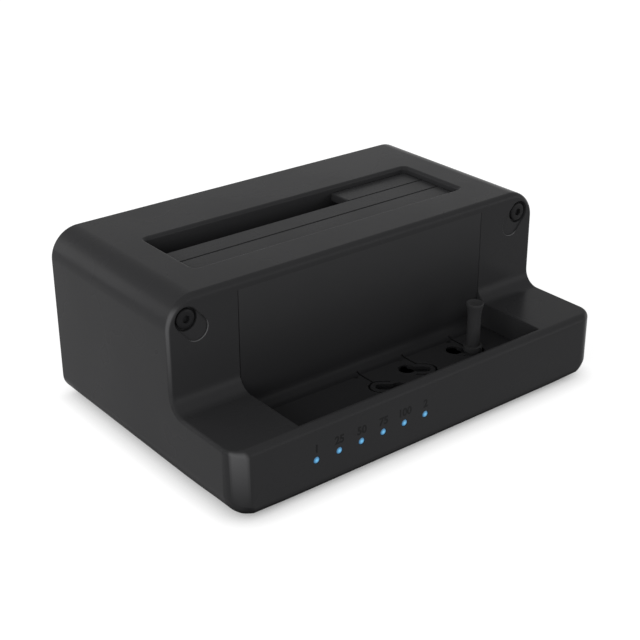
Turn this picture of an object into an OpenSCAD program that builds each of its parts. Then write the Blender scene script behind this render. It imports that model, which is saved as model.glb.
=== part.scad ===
// Desktop docking station for bare drives.
// The tall rear block has a top slot with a sprung flap, and the low front deck has an open card bay.
// X is the width, Y runs from the front (negative) to the rear, and Z is up from the table.

/* [Body] */
// Width of the body
body_w = 140; // [134:1:170]
// Depth of the body
body_d = 95.2; // [94:0.2:120]
// Height of the body without its feet
body_h = 54.1; // [50:0.1:75]
// Depth of the tall rear block
block_d = 65.1; // [64:0.1:66]
// Height of the front deck above the underside of the body
deck_h = 20.7; // [20:0.1:26]
// Thickness of the side, front, rear and deck walls
wall = 2.4; // [1.8:0.1:2.8]
// Thickness of the top wall
top_wall = 2.6; // [2.2:0.1:3]
// Radius of the long top edges
top_r = 9.5; // [7:0.1:11]
// Radius of the long bottom edges
base_r = 5; // [4:0.1:8]
// Radius of the hollow between the deck and the block
step_r = 5; // [3:0.1:7]
// Radius of the block's top front edge
crown_r = 2; // [1:0.1:2.5]
// Radius of the deck's front edge
lip_r = 1.5; // [0.8:0.1:2]
// Radius of the upright front corners
corner_r = 5.2; // [2:0.1:8]
// Radius under the two front corners
heel_r = 5.5; // [4:0.1:8]
// Radius of the bottom front edge
toe_r = 2; // [1:0.1:3]
// Radius of the rear edges
edge_r = 1; // [0.5:0.1:2]

/* [Drive slot] */
// Width of the slot, for the larger drive
slot_w = 102.4; // [102:0.1:104]
// Depth of the slot, front to rear
slot_d = 27.1; // [26.6:0.1:28]
// Distance from the slot to the rear face
slot_from_rear = 23.4; // [22:0.1:26]
// Width of the chamfer round the slot's sides and rear
slot_chamfer = 1.5; // [0.5:0.1:2]
// Width of the chamfer on the slot's front edge
slot_front_chamfer = 0.5; // [0.3:0.1:1]
// Height of the drive's seat above the underside of the body
seat_h = 15.4; // [14.5:0.1:18]
// Wall of the drive guide
guide_wall = 1.8; // [1.2:0.1:2.2]
// Floor of the drive guide
guide_floor_t = 2; // [1.5:0.1:2.5]

/* [Flap] */
// Depth of the flap's face below the top of the body
flap_drop = 2; // [1.6:0.1:2.2]
// Thickness of the flap's plate
flap_t = 1.7; // [1.2:0.1:2]
// Gap round the flap's raised face
flap_gap = 0.5; // [0.3:0.1:0.8]
// How far the flap's rims reach under the top wall
flap_rim = 1; // [0.6:0.1:1.4]
// Width of the notch for the smaller drive
notch_w = 70.4; // [70:0.1:74]
// Depth of that notch, front to rear
notch_d = 9.6; // [7:0.1:12]
// Width of the flap's two grooves
groove_w = 0.7; // [0.4:0.1:1]
// Depth of those grooves
groove_depth = 0.35; // [0.2:0.05:0.5]
// Distance from the slot's front to the middle groove
groove_from_front = 9.6; // [8:0.1:12]
// Radius of the hinge rod
rod_r = 0.9; // [0.7:0.05:1]
// Radius of the flap's knuckles
knuckle_r = 1.6; // [1.5:0.05:1.7]
// Length of each knuckle
knuckle_len = 12; // [8:0.5:14]
// Distance between the knuckles
knuckle_pitch = 40; // [34:0.5:42]

/* [Flap springs] */
// Radius of the spring wire
wire_r = 0.25; // [0.2:0.01:0.3]
// Turns of each spring
spring_turns = 5; // [3:1:7]
// Pitch of the turns
spring_pitch = 1; // [0.95:0.01:1.2]
// Length of the spring leg under the flap
spring_leg = 12; // [8:0.5:16]

/* [Card bay] */
// Width of the bay
bay_w = 93.6; // [93:0.1:98]
// Height of the bay floor above the underside of the body
floor_h = 12.4; // [12.3:0.1:13.4]
// Thickness of the bay floor
floor_t = 1.4; // [1.2:0.1:1.5]
// Thickness of the upright bay panel
panel_t = 2.2; // [1.6:0.1:2.4]
// Thickness of the front lip
lip_t = 3.1; // [2.9:0.1:4]
// Seam between the bay panel and the housing
seam = 0.2; // [0.1:0.05:0.3]
// Radius of the hollow between the panel and the bay floor
bay_r = 4; // [2:0.1:5]
// Thickness of the walls that hang from the deck round the bay
skirt_t = 2; // [1.5:0.1:2.5]
// Gap between the card's socket and the bay panel
socket_from_panel = 2; // [1:0.1:4]
// Gap between the card's socket and the front lip
socket_from_lip = 3; // [1:0.1:4]
// Height of the card above the bay floor
card_lift = 2; // [1.8:0.1:2.2]
// Depth of the card's edge inside the side wall
card_inset = 0.7; // [0.5:0.1:1]
// Lengths of the cards that fit
card_lengths = [42, 60, 80];

/* [Fixing pin] */
// Radius of the pin's stem
pin_r = 2.15; // [2:0.05:2.4]
// Radius of the pin's flange
pin_flange_r = 3; // [2.6:0.05:3.05]
// Radius of the pin's head
pin_head_r = 2.75; // [2.5:0.05:3]
// Radius of the pin's neck in the keyhole
pin_neck_r = 1; // [0.8:0.05:1.2]
// Radius of the pin's foot under the bay floor
pin_foot_r = 2.4; // [2.2:0.05:2.5]
// Thickness of the pin's foot
pin_foot_t = 1.1; // [0.8:0.1:1.3]
// Height of the pin above the bay floor
pin_h = 16.5; // [14:0.1:18]
// Travel from the narrow end of the keyhole to its wide end
key_travel = 5.7; // [5.2:0.1:6.2]
// Direction of that travel, in degrees from the width
key_angle = 141; // [130:1:150]
// Radius of the groove round the narrow end of each keyhole
key_ring_r = 3.7; // [3.7:0.05:4.2]
// Length of that groove's two arms beside the keyhole
key_arm = 3; // [2:0.1:3.5]
// Distance from the bay panel to the end of the line that leads to each groove
key_lead_end = 1.8; // [1:0.1:4]

/* [Shoulder screws] */
// Distance from the screws to the sides of the body
shoulder_side = 6.4; // [6:0.1:8]
// Distance from the screws to the top of the body
shoulder_drop = 6.9; // [6.5:0.1:8]
// Radius of the recess round the screws
shoulder_recess_r = 3.7; // [3.4:0.1:3.9]
// Length of that recess, towards the middle and down
shoulder_recess_len = 4.7; // [3:0.1:6]
// Radius of the screw heads
shoulder_head_r = 2.9; // [2.6:0.05:3]

/* [Lights] */
// Radius of the indicator lights
light_r = 1; // [0.7:0.05:1]
// Distance between the lights
light_pitch = 8; // [6:0.1:9]
// Number of lights
light_count = 6; // [2:1:6]
// Distance from the first light to the left side
light_from_side = 26.9; // [25:0.1:30]
// Height of the lights above the underside of the body
light_h = 9.8; // [9.4:0.1:9.9]

/* [Rear ports] */
// Width of the opening in the rear wall
port_window_w = 99; // [96:1:100]
// Height of that opening
port_window_h = 20.5; // [20:0.5:24]
// Thickness of the rear panel
port_panel_t = 1.6; // [1.2:0.1:2]
// Place of the power inlet from the middle
inlet_x = -36; // [-40:1:-30]
// Place of the data port from the middle
data_port_x = -14; // [-18:1:-8]
// Place of the copy button from the middle
copy_x = 12; // [8:1:16]
// Place of the power rocker from the middle
rocker_x = 36; // [30:1:38]
// Radius of the inlet's bore
inlet_r = 3.2; // [3:0.05:3.4]
// Radius of the copy button
copy_r = 3.2; // [2.5:0.1:3.4]
// Travel of the copy button
copy_travel = 0.8; // [0.4:0.1:0.9]
// Tilt of the rocker either side of its middle
rocker_tilt = 9; // [6:0.5:10]

/* [Base and boards] */
// Thickness of the base cover
base_t = 2; // [1.6:0.1:2.4]
// Ledge that the base cover seats against
ledge_t = 1; // [0.8:0.1:1.5]
// Width of that ledge
ledge_w = 3; // [2.5:0.1:3.5]
// Height that the feet stand below the body
foot_stand = 1.2; // [0.8:0.1:3]
// Radius of the feet
foot_r = 5; // [4:0.1:6]
// Width of the main board
board_w = 107; // [106:1:109]
// Thickness of the boards
board_t = 1.6; // [1:0.1:1.8]
// Thickness of the card board
card_board_t = 1.2; // [1:0.1:1.4]

/* [Hidden] */
$fn = 64;

// Clearances
fit = 0.1;
play = 0.3;
thread_fit = 0.05;
sharp_r = 0.2;
past = 1;

// Main planes
z0 = foot_stand;
top_z = z0 + body_h;
deck_z = z0 + deck_h;
front_y = -body_d / 2;
rear_y = body_d / 2;
step_y = rear_y - block_d;
base_top_z = z0 + base_t;
top_in_z = top_z - top_wall;
side_in_x = body_w / 2 - wall;
rear_in_y = rear_y - wall;

// Slot, flap and guide
slot_back_y = rear_y - slot_from_rear;
slot_front_y = slot_back_y - slot_d;
flap_clear = 0.25;
flap_top_z = top_in_z - flap_clear;
flap_under_z = flap_top_z - flap_t;
flap_face_z = top_z - flap_drop;
hinge_clear = 0.35;
hinge_z = top_in_z - hinge_clear - knuckle_r;
hinge_y = slot_front_y - (flap_face_z - hinge_z);
guide_flap_gap = 0.4;
guide_in_x = slot_w / 2 + flap_rim + guide_flap_gap;
guide_x = guide_in_x + guide_wall;
guide_hinge_gap = 0.8;
guide_front_y = hinge_y - knuckle_r - guide_hinge_gap;
guide_back_y = slot_back_y;
seat_z = z0 + seat_h;
knuckle_xs = [-knuckle_pitch, 0, knuckle_pitch];
spring_xs = [-knuckle_pitch / 2, knuckle_pitch / 2];

// Card bay
floor_z = z0 + floor_h;
floor_under_z = floor_z - floor_t;
bay_front_y = front_y + lip_t;
card_socket_y = [bay_front_y + socket_from_lip, step_y - socket_from_panel];
card_socket_w = card_socket_y[1] - card_socket_y[0];
card_y = (card_socket_y[0] + card_socket_y[1]) / 2;
card_x0 = -bay_w / 2 - card_inset;
card_z = floor_z + card_lift;
panel_top_z = top_in_z - play;
panel_flange = 1.8;
panel_flange_t = 1.1;
key_groove_w = 0.6;
key_groove_depth = 0.4;
key_dish = 0.6;
pin_x = card_x0 + card_lengths[2];
pin_flare = 2.4;
pin_rim = 1;
pin_chamfer = 0.3;

// Rails of the rear panel
rail_w = 2;
rail_lip = 1.5;
rail_t = 1.2;
rail_foot = 2;

// Boards
light_z = z0 + light_h;
lamp_size = 1.6;
board_top_z = light_z - lamp_size / 2;
board_z = board_top_z - board_t;
board_panel_gap = 2.1;
board_front_y = step_y + wall + board_panel_gap;
board_rear_y = rear_in_y - port_panel_t - rail_t - 2 * play;
header_w = 4.7;
board_x0 = -bay_w / 2 - skirt_t - header_w;
board_x1 = board_x0 + board_w;
card_board_top_z = floor_z;
card_board_z = card_board_top_z - card_board_t;
light_x0 = -body_w / 2 + light_from_side;
light_xs = [for (i = [0 : light_count - 1]) light_x0 + i * light_pitch];
pipe_len = 4.2;
lamp_y = front_y + pipe_len + fit;
lamp_d = 1.2;
lamp_board_d = 8;
lamp_board_end = 4;
lamp_board_y = [lamp_y, lamp_y + lamp_board_d];
lamp_board_x = [light_x0 - lamp_board_end, light_x0 + (light_count - 1) * light_pitch + lamp_board_end];
ribbon_x = light_x0 + 3 * light_pitch;
ribbon_w = 8;
ribbon_t = 0.3;
ribbon_lap = 1;
ribbon_socket = [10, 3, 1.6];

// Base cover, its screws and posts
base_side = 0.5;
base_end = 4.2;
base_w = body_w - 2 * (base_r + base_side);
base_d = body_d - 2 * base_end;
base_corner_r = 4;
base_screw_x = base_w / 2 - base_corner_r;
base_screw_y = base_d / 2 - base_corner_r;
base_screw_at = [for (sx = [-1, 1], sy = [-1, 1]) [sx * base_screw_x, sy * base_screw_y]];
screw_r = 1.2;
screw_head_r = 2.2;
screw_head_t = 1.1;
boss_r = 2.8;
screw_web = 0.4;
boss_h = board_z - base_top_z - play;
foot_sink = 0.8;
foot_in = [12, 8.5];
foot_at = [for (sx = [-1, 1], sy = [-1, 1]) [sx * (base_w / 2 - foot_in[0]), sy * (base_d / 2 - foot_in[1])]];
post_r = 2.5;
board_post_in = 4.5;
board_post_front = 4;
board_post_rear = 9;
board_post_at = [
    for (x = [board_x0 + board_post_in, board_x1 - board_post_in])
        for (y = [board_front_y + board_post_front, slot_back_y + board_post_rear])
            [x, y]
];
lamp_post_in = 2.6;
lamp_post_at = [
    for (x = [lamp_board_x[0] + lamp_post_in, lamp_board_x[1] - lamp_post_in])
        [x, lamp_board_y[1] - lamp_post_in]
];
front_post_y = -base_d / 2 + ledge_w + post_r + play;
floor_post_in = 4;
floor_post_panel = 4.5;
floor_post_lamp = 6;
floor_post_at = [
    [-bay_w / 2 + floor_post_in, step_y - floor_post_panel],
    [bay_w / 2 - floor_post_in, step_y - floor_post_panel],
    [bay_w / 2 - floor_post_in, front_post_y],
    [lamp_board_x[1] + floor_post_lamp, front_post_y]
];
small_screw_r = 0.9;
small_head_r = 1.8;
small_head_t = 1.2;
small_screw_len = 5;

// Drive socket
sata_from_side = 25.2;
sata_from_back = 4;
sata_rise = 3;
sata_x = -slot_w / 2 + sata_from_side;
sata_y = slot_back_y - sata_from_back;
sata_size = [41, 6.6];
sata_top_z = seat_z + sata_rise;
sata_pitch = 1.27;
sata_pocket_d = 2.4;
sata_pocket_depth = 5;
sata_signal_pins = 7;
sata_power_pins = 15;
sata_power_w = (sata_power_pins + 1) * sata_pitch;
sata_signal_w = (sata_signal_pins + 1) * sata_pitch;
sata_rib = 2.4;
sata_blade = [0.8, 0.5];
sata_blade_drop = 0.7;
sata_x0 = sata_x - (sata_power_w + sata_rib + sata_signal_w) / 2;

// Card socket
card_socket_reach = 7;
card_socket_x = [card_x0 - card_socket_reach, -bay_w / 2 - fit];
card_socket_h = 4.2;
card_socket_back = 2;
card_mouth_h = 1.1;
card_mouth_wall = 1;
card_mouth_w = card_socket_w - 2 * card_mouth_wall;
card_contact_pitch = 1;
card_contact = [3.4, 0.4, 0.25];
card_board_side = 1.6;
header_front = 8;
header_d = 7;
header_y = [board_front_y + header_front, board_front_y + header_front + header_d];
card_screw_front = 2.5;
card_screw_rear = 4.5;
card_screw_x = (card_socket_x[0] - side_in_x) / 2;
card_screw_at = [[card_screw_x, card_y - card_screw_front], [card_screw_x, step_y - card_screw_rear]];

// Parts on the main board
bridge_size = [12, 12, 1.2];
bridge_gap = 8;
bridge_back = 4;
bridge_y = sata_y - bridge_back;
card_bridge_size = [10, 10, 1.2];
card_bridge_in = 22;
crystal_size = [5, 3.2, 1];
crystal_in = 34;
board_row = 12;
board_row_y = board_front_y + board_row;
coil_size = [7, 7, 3];
coil_pitch = 10;
can_r = 3.15;
can_h = 7.5;
can_gap = 1.85;
can_y = guide_back_y + guide_wall + can_gap + can_r;
can_pitch = 8;
can_from_inlet = [11, 32];

// Rear ports
port_panel_lap = 2;
port_window_lift = 4.3;
port_panel_w = port_window_w + 2 * port_panel_lap;
port_panel_y = rear_in_y - port_panel_t;
port_window_z = base_top_z + port_window_lift;
port_panel_z = base_top_z + ledge_t + sharp_r;
port_panel_top_z = port_window_z + port_window_h + port_panel_lap;
contact_recess = 0.6;
inlet_size = [9, 11.5, 10.6];
inlet_back = 2;
inlet_rise = 6.2;
inlet_z = board_top_z + inlet_rise;
inlet_nose_r = 4.2;
inlet_pin_r = 1;
data_size = [8.94, 3.26];
data_len = 7.4;
data_wall = 0.35;
data_back = 1;
data_tongue = [6.7, 0.7];
data_z = board_top_z + data_size[1] / 2;
copy_rise = 5.2;
copy_z = board_top_z + copy_rise;
copy_flange = 0.9;
copy_flange_r = copy_r + copy_flange;
copy_flange_t = 1.1;
copy_stand = 1.5;
copy_switch_size = [6, 3.5, 7.6];
copy_plunger_r = 1.6;
copy_plunger_len = 1.4;
copy_flange_y = port_panel_y - play - copy_flange_t;
copy_switch_y = copy_flange_y - copy_plunger_len;
rocker_body = [14, 11, 11];
rocker_bezel = [16, 1, 12.6];
rocker_z = board_top_z + rocker_body[2] / 2;
rocker_cavity = [12, 8];
rocker_size = [10.6, 7.2];
rocker_back = 4;
rocker_pivot_r = 0.8;
rocker_pivot_in = 1.7;
rocker_pivot_end = 1;
rocker_pivot_y = rear_in_y - rocker_pivot_in;
rocker_foot = [0.8, 0.6];
rocker_keel = 2;
rocker_peak = 2.6;
rocker_dip = rocker_peak - rocker_size[0] / 2 * tan(rocker_tilt);

// Shoulder screws
shoulder_x = body_w / 2 - shoulder_side;
shoulder_z = top_z - shoulder_drop;
shoulder_heading = -131;
shoulder_recess_depth = 0.5;
shoulder_bore_depth = 0.9;
shoulder_head_t = 1;
shoulder_socket_r = 1.05;
shoulder_shank_r = 1.3;
shoulder_len = 6;
ear_r = 2.6;
ear_back_y = guide_front_y;
ear_web = 4;
peg_rise = 12;

// Colours
shell_colour = "#363636";
inner_colour = "#2a2a2a";
board_colour = "#1f4d33";
metal_colour = "#b9bcc0";
gold_colour = "#c9a24a";
chip_colour = "#222326";
lamp_colour = "#5ab9e6";
rubber_colour = "#1b1b1b";

// Moves a flat outline drawn in X and Z into place, with its thickness along Y
module along_y(y0, y1) {
    translate([0, y1, 0])
        rotate([90, 0, 0])
            linear_extrude(y1 - y0)
                children();
}

// Moves a flat outline drawn in Y and Z into place, with its thickness along X
module along_x(x0, x1) {
    translate([x0, 0, 0])
        rotate([90, 0, 90])
            linear_extrude(x1 - x0)
                children();
}

// Lifts a flat outline drawn in X and Y
module along_z(bottom, top) {
    translate([0, 0, bottom])
        linear_extrude(top - bottom)
            children();
}

// Box between two corners
module box(lo, hi) {
    translate(lo)
        cube(hi - lo);
}

// Round bar along Y
module rod_y(at_x, at_z, y0, y1, r) {
    translate([at_x, y1, at_z])
        rotate([90, 0, 0])
            cylinder(h = y1 - y0, r = r);
}

// Round bar along X
module rod_x(at_y, at_z, x0, x1, r) {
    translate([x0, at_y, at_z])
        rotate([0, 90, 0])
            cylinder(h = x1 - x0, r = r);
}

// Round post along Z
module post(at, bottom, top, r) {
    translate([at[0], at[1], bottom])
        cylinder(h = top - bottom, r = r);
}

// Rectangle with a radius at each corner: lower left, lower right, upper right, upper left
module round_plate(lo, hi, r) {
    polygon([
        [lo[0] + r[0], lo[1]], [hi[0] - r[1], lo[1]],
        [hi[0], lo[1] + r[1]], [hi[0], hi[1] - r[2]],
        [hi[0] - r[2], hi[1]], [lo[0] + r[3], hi[1]],
        [lo[0], hi[1] - r[3]], [lo[0], lo[1] + r[0]]
    ]);
    translate([lo[0] + r[0], lo[1] + r[0]]) circle(r[0]);
    translate([hi[0] - r[1], lo[1] + r[1]]) circle(r[1]);
    translate([hi[0] - r[2], hi[1] - r[2]]) circle(r[2]);
    translate([lo[0] + r[3], hi[1] - r[3]]) circle(r[3]);
}

// Straight slot outline with round ends, from the origin along an angle
module stadium(length, angle, r) {
    rotate(angle) {
        circle(r);
        translate([length, 0]) circle(r);
        translate([0, -r]) square([length, 2 * r]);
    }
}

// Radius of an edge after the surface moves inwards
function inner_r(r, inset) = max(r - inset, sharp_r);

// End outline of the body, in X and Z
module end_outline(side, top, bottom) {
    round_plate(
        [-body_w / 2 + side, z0 + bottom], [body_w / 2 - side, top_z - top],
        [inner_r(base_r, bottom), inner_r(base_r, bottom), inner_r(top_r, top), inner_r(top_r, top)]
    );
}

// Side outline of the body, in Y and Z: the tall block, the low deck and the hollow between them
module side_outline(side, top, bottom) {
    hollow_r = step_r + side;
    crown = inner_r(crown_r, side);
    edge = inner_r(edge_r, side);
    toe = inner_r(toe_r, side);
    round_plate([step_y + side, z0 + bottom], [rear_y - side, top_z - top], [edge, edge, edge, crown]);
    round_plate(
        [front_y + side, z0 + bottom], [rear_y - side, deck_z - side],
        [toe, edge, sharp_r, inner_r(lip_r, side)]
    );
    translate([step_y - step_r, deck_z + step_r])
        difference() {
            translate([0, -hollow_r - sharp_r]) square([hollow_r + sharp_r, hollow_r + sharp_r]);
            circle(hollow_r);
        }
}

// Plan outline of the body, in X and Y
module plan_outline(side) {
    front = inner_r(corner_r, side);
    rear = inner_r(edge_r, side);
    round_plate(
        [-body_w / 2 + side, front_y + side], [body_w / 2 - side, rear_y - side], [front, front, rear, rear]
    );
}

// Outline along a front corner's diagonal, which rounds the corner's underside
module corner_trim(angle, side, bottom) {
    reach = body_w + body_d;
    tip = reach / 2 / sqrt(2) - corner_r * (sqrt(2) - 1) - side;
    under = inner_r(heel_r, bottom);
    rotate([0, 0, angle])
        along_y(-reach, reach)
            round_plate([-reach, z0 + bottom], [tip, top_z + past], [sharp_r, under, sharp_r, sharp_r]);
}

// The whole body, drawn in by the given wall thicknesses
module body_solid(side = 0, top = 0, bottom = 0) {
    intersection() {
        corner_trim(225, side, bottom);
        corner_trim(315, side, bottom);
        along_y(front_y, rear_y) end_outline(side, top, bottom);
        along_x(-body_w / 2, body_w / 2) side_outline(side, top, bottom);
        along_z(z0, top_z) plan_outline(side);
    }
}

// Drive slot with its chamfered mouth
module slot_cut() {
    box([-slot_w / 2, slot_front_y, top_in_z - past], [slot_w / 2, slot_back_y, top_z + past]);
    intersection() {
        along_y(slot_front_y - past, slot_back_y + slot_chamfer + past)
            polygon([
                [-slot_w / 2, top_z - slot_chamfer], [slot_w / 2, top_z - slot_chamfer],
                [slot_w / 2 + slot_chamfer + past, top_z + past],
                [-slot_w / 2 - slot_chamfer - past, top_z + past]
            ]);
        along_x(-slot_w / 2 - slot_chamfer - past, slot_w / 2 + slot_chamfer + past)
            polygon([
                [slot_front_y, top_z - slot_chamfer], [slot_back_y, top_z - slot_chamfer],
                [slot_back_y + slot_chamfer + past, top_z + past],
                [slot_front_y - slot_front_chamfer - past, top_z + past],
                [slot_front_y, top_z - slot_front_chamfer]
            ]);
    }
}

// Card bay, open at the top, and the window above it for the bay panel
module bay_cut() {
    box(
        [-bay_w / 2, bay_front_y, floor_under_z - past],
        [bay_w / 2, step_y + wall + past, deck_z + step_r + past]
    );
    box([-bay_w / 2, step_y - past, floor_z], [bay_w / 2, step_y + wall + past, panel_top_z + seam]);
}

// Walls that hang from the deck round the bay
module bay_skirts() {
    intersection() {
        body_solid();
        for (x = [-bay_w / 2 - skirt_t, bay_w / 2])
            box([x, front_y + wall / 2, floor_z], [x + skirt_t, step_y + wall, deck_z + step_r]);
    }
    box(
        [-bay_w / 2 - skirt_t, front_y + wall / 2, floor_z],
        [bay_w / 2 + skirt_t, bay_front_y, deck_z - wall / 2]
    );
}

// Window in the bay's left wall where the card goes into its socket
module card_window() {
    half = card_socket_w / 2 + play;
    box(
        [-bay_w / 2 - skirt_t - past, card_y - half, floor_z - past],
        [-bay_w / 2 + past, card_y + half, card_board_top_z + card_socket_h + fit]
    );
}

// Rails that hold the rear panel against the rear wall
module port_rails() {
    lip_y = port_panel_y - fit - rail_t;
    for (side = [-1, 1])
        mirror([side < 0 ? 1 : 0, 0, 0]) {
            edge_x = port_panel_w / 2 + fit;
            box([edge_x, lip_y, port_panel_z], [edge_x + rail_w, rear_in_y + wall / 2, port_panel_top_z]);
            box(
                [edge_x - rail_lip, lip_y, port_panel_z + rail_foot],
                [edge_x + rail_w, lip_y + rail_t, port_panel_top_z]
            );
        }
}

// Shallow recess and screw bore in one shoulder of the block
module shoulder_cut() {
    bore_y = step_y + shoulder_recess_depth + shoulder_bore_depth;
    along_y(step_y - past, step_y + shoulder_recess_depth)
        translate([shoulder_x, shoulder_z])
            stadium(shoulder_recess_len, shoulder_heading, shoulder_recess_r);
    rod_y(shoulder_x, shoulder_z, step_y - past, bore_y, shoulder_head_r + fit);
    rod_y(shoulder_x, shoulder_z, step_y - past, step_y + wall + past, shoulder_shank_r + fit);
}

// Outer moulding of the whole dock, open underneath
module upper_housing() {
    color(shell_colour)
        difference() {
            union() {
                difference() {
                    body_solid();
                    body_solid(wall, top_wall, base_t + ledge_t);
                }
                bay_skirts();
                port_rails();
                for (at = base_screw_at)
                    post(at, base_top_z, base_top_z + boss_h, boss_r);
                for (at = card_screw_at)
                    post(at, card_board_top_z, deck_z - wall / 2, boss_r);
            }
            slot_cut();
            bay_cut();
            card_window();
            base_seat();
            for (side = [0, 1])
                mirror([side, 0, 0])
                    shoulder_cut();
            for (x = light_xs)
                rod_y(x, light_z, front_y - past, front_y + wall + past, light_r + fit);
            box(
                [-port_window_w / 2, rear_in_y - past, port_window_z],
                [port_window_w / 2, rear_y + past, port_window_z + port_window_h]
            );
            for (at = base_screw_at)
                post(at, base_top_z - past, base_top_z + boss_h - past, screw_r + thread_fit);
            for (at = card_screw_at)
                post(
                    at, card_board_top_z - past, card_board_top_z + small_screw_len,
                    small_screw_r + thread_fit
                );
        }
}

// Plan outline of the base cover, grown by a margin
module base_outline(margin) {
    half = [base_w / 2 + margin, base_d / 2 + margin];
    r = base_corner_r;
    round_plate(-half, half, [r, r, r, r]);
}

// Recess for the base cover and the opening above it
module base_seat() {
    difference() {
        union() {
            along_z(z0 - past, base_top_z)
                base_outline(fit);
            along_z(z0, base_top_z + ledge_t + past)
                base_outline(-ledge_w);
        }
        for (at = base_screw_at)
            post(at, base_top_z, base_top_z + boss_h, boss_r);
    }
}

// Flat cover that closes the underside, with the posts that carry the boards and the bay
module base_cover() {
    color(inner_colour)
        difference() {
            union() {
                along_z(z0, base_top_z)
                    base_outline(0);
                for (at = concat(board_post_at, lamp_post_at))
                    post(at, base_top_z - past, board_z, post_r);
                for (at = floor_post_at)
                    post(at, base_top_z - past, floor_under_z, post_r);
            }
            for (at = base_screw_at) {
                post(at, z0 - past, base_top_z + past, screw_r + 2 * fit);
                post(at, z0 - past, z0 + screw_head_t + fit, screw_head_r + 2 * fit);
            }
            for (at = foot_at)
                post(at, z0 - past, z0 + foot_sink, foot_r + fit);
            for (at = concat(board_post_at, lamp_post_at))
                post(at, board_z - small_screw_len, board_z + past, small_screw_r + thread_fit);
        }
}

module rubber_feet() {
    color(rubber_colour)
        for (at = foot_at)
            post(at, 0, z0 + foot_sink, foot_r);
}

module base_screws() {
    color(metal_colour)
        for (at = base_screw_at)
            difference() {
                union() {
                    post(at, z0 + fit, z0 + fit + screw_head_t, screw_head_r);
                    post(at, z0 + fit, base_top_z + boss_h - 2 * past, screw_r);
                }
                post(at, z0, z0 + screw_head_t - screw_web, screw_r);
            }
}

// Insert behind the rear window, with a cut-out for each port
module rear_panel() {
    color(inner_colour)
        difference() {
            box(
                [-port_panel_w / 2, port_panel_y, port_panel_z],
                [port_panel_w / 2, rear_in_y, port_panel_top_z]
            );
            rod_y(inlet_x, inlet_z, port_panel_y - past, rear_y, inlet_nose_r + fit);
            along_y(port_panel_y - past, rear_y)
                translate([data_port_x, data_z])
                    data_outline(fit);
            rod_y(copy_x, copy_z, port_panel_y - past, rear_y, copy_r + play);
            along_y(port_panel_y - past, rear_y)
                translate([rocker_x, rocker_z])
                    square([rocker_body[0] + 2 * fit, rocker_body[2] + 2 * fit], center = true);
        }
}

// Place and heading of each keyhole: the shortest card's points forwards, the others point rearwards
function key_x(i) = card_x0 + card_lengths[i];
function key_heading(i) = i == 0 ? key_angle - 180 : key_angle;

// Groove round a keyhole's narrow end, with an arm on each side of the keyhole
module key_groove() {
    inner = key_ring_r - key_groove_w;
    difference() {
        union() {
            circle(key_ring_r);
            translate([0, -key_ring_r]) square([key_arm, 2 * key_ring_r]);
        }
        circle(inner);
        translate([0, -inner]) square([key_arm + past, 2 * inner]);
    }
}

// Keyhole for the fixing pin, with its groove and the line that leads from the groove to the panel
module key_cut(i) {
    hole_r = pin_foot_r + play;
    slot_r = pin_neck_r + thread_fit;
    lead_y = (key_ring_r - key_groove_w) / (i == 0 ? 1 : -cos(key_angle));
    translate([key_x(i), card_y, 0]) {
        along_z(floor_under_z - past, floor_z + past) {
            stadium(key_travel, key_heading(i), slot_r);
            rotate(key_heading(i)) translate([key_travel, 0]) circle(hole_r);
        }
        along_z(floor_z - key_groove_depth, floor_z + past) {
            stadium(key_travel, key_heading(i), slot_r + key_dish);
            rotate(key_heading(i)) key_groove();
        }
        along_z(floor_z - key_groove_depth, floor_z + bay_r)
            translate([-key_groove_w / 2, lead_y])
                square([key_groove_w, step_y - card_y - key_lead_end - lead_y]);
    }
}

// Upright panel between the two seams, and the floor of the card bay in one piece with it
module bay_panel() {
    half = bay_w / 2 - seam;
    color(shell_colour)
        difference() {
            union() {
                box([-half, step_y, floor_under_z], [half, step_y + panel_t, panel_top_z]);
                box(
                    [-half - panel_flange, step_y + wall + fit, floor_under_z],
                    [half + panel_flange, step_y + wall + fit + panel_flange_t, panel_top_z - play]
                );
                box(
                    [-half, step_y + panel_t / 2, floor_under_z],
                    [half, step_y + wall + 2 * fit, panel_top_z - play]
                );
                box([-half, bay_front_y + seam, floor_under_z], [half, step_y + panel_t, floor_z]);
                box(
                    [-bay_w / 2 - skirt_t + fit, front_y + wall + fit, floor_under_z],
                    [bay_w / 2 + skirt_t - fit, step_y + wall, floor_z - fit]
                );
                along_x(-half, half)
                    translate([step_y - bay_r, floor_z + bay_r])
                        difference() {
                            translate([0, -bay_r - sharp_r]) square([bay_r + sharp_r, bay_r + sharp_r]);
                            circle(bay_r);
                        }
            }
            for (i = [0 : len(card_lengths) - 1])
                key_cut(i);
        }
}

// Loose pin that holds the card's end: it drops into the wide end of a keyhole and slides to the narrow end
module fixing_pin() {
    under = -floor_t - fit;
    color(inner_colour)
        translate([pin_x, card_y, floor_z])
            rotate_extrude()
                polygon([
                    [0, under - pin_foot_t], [pin_foot_r, under - pin_foot_t], [pin_foot_r, under],
                    [pin_neck_r, under], [pin_neck_r, fit], [pin_flange_r, fit], [pin_flange_r, card_lift],
                    [pin_r, card_lift], [pin_r, pin_h - pin_flare], [pin_head_r, pin_h - pin_rim],
                    [pin_head_r, pin_h - pin_chamfer], [pin_head_r - pin_chamfer, pin_h], [0, pin_h]
                ]);
}

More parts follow.
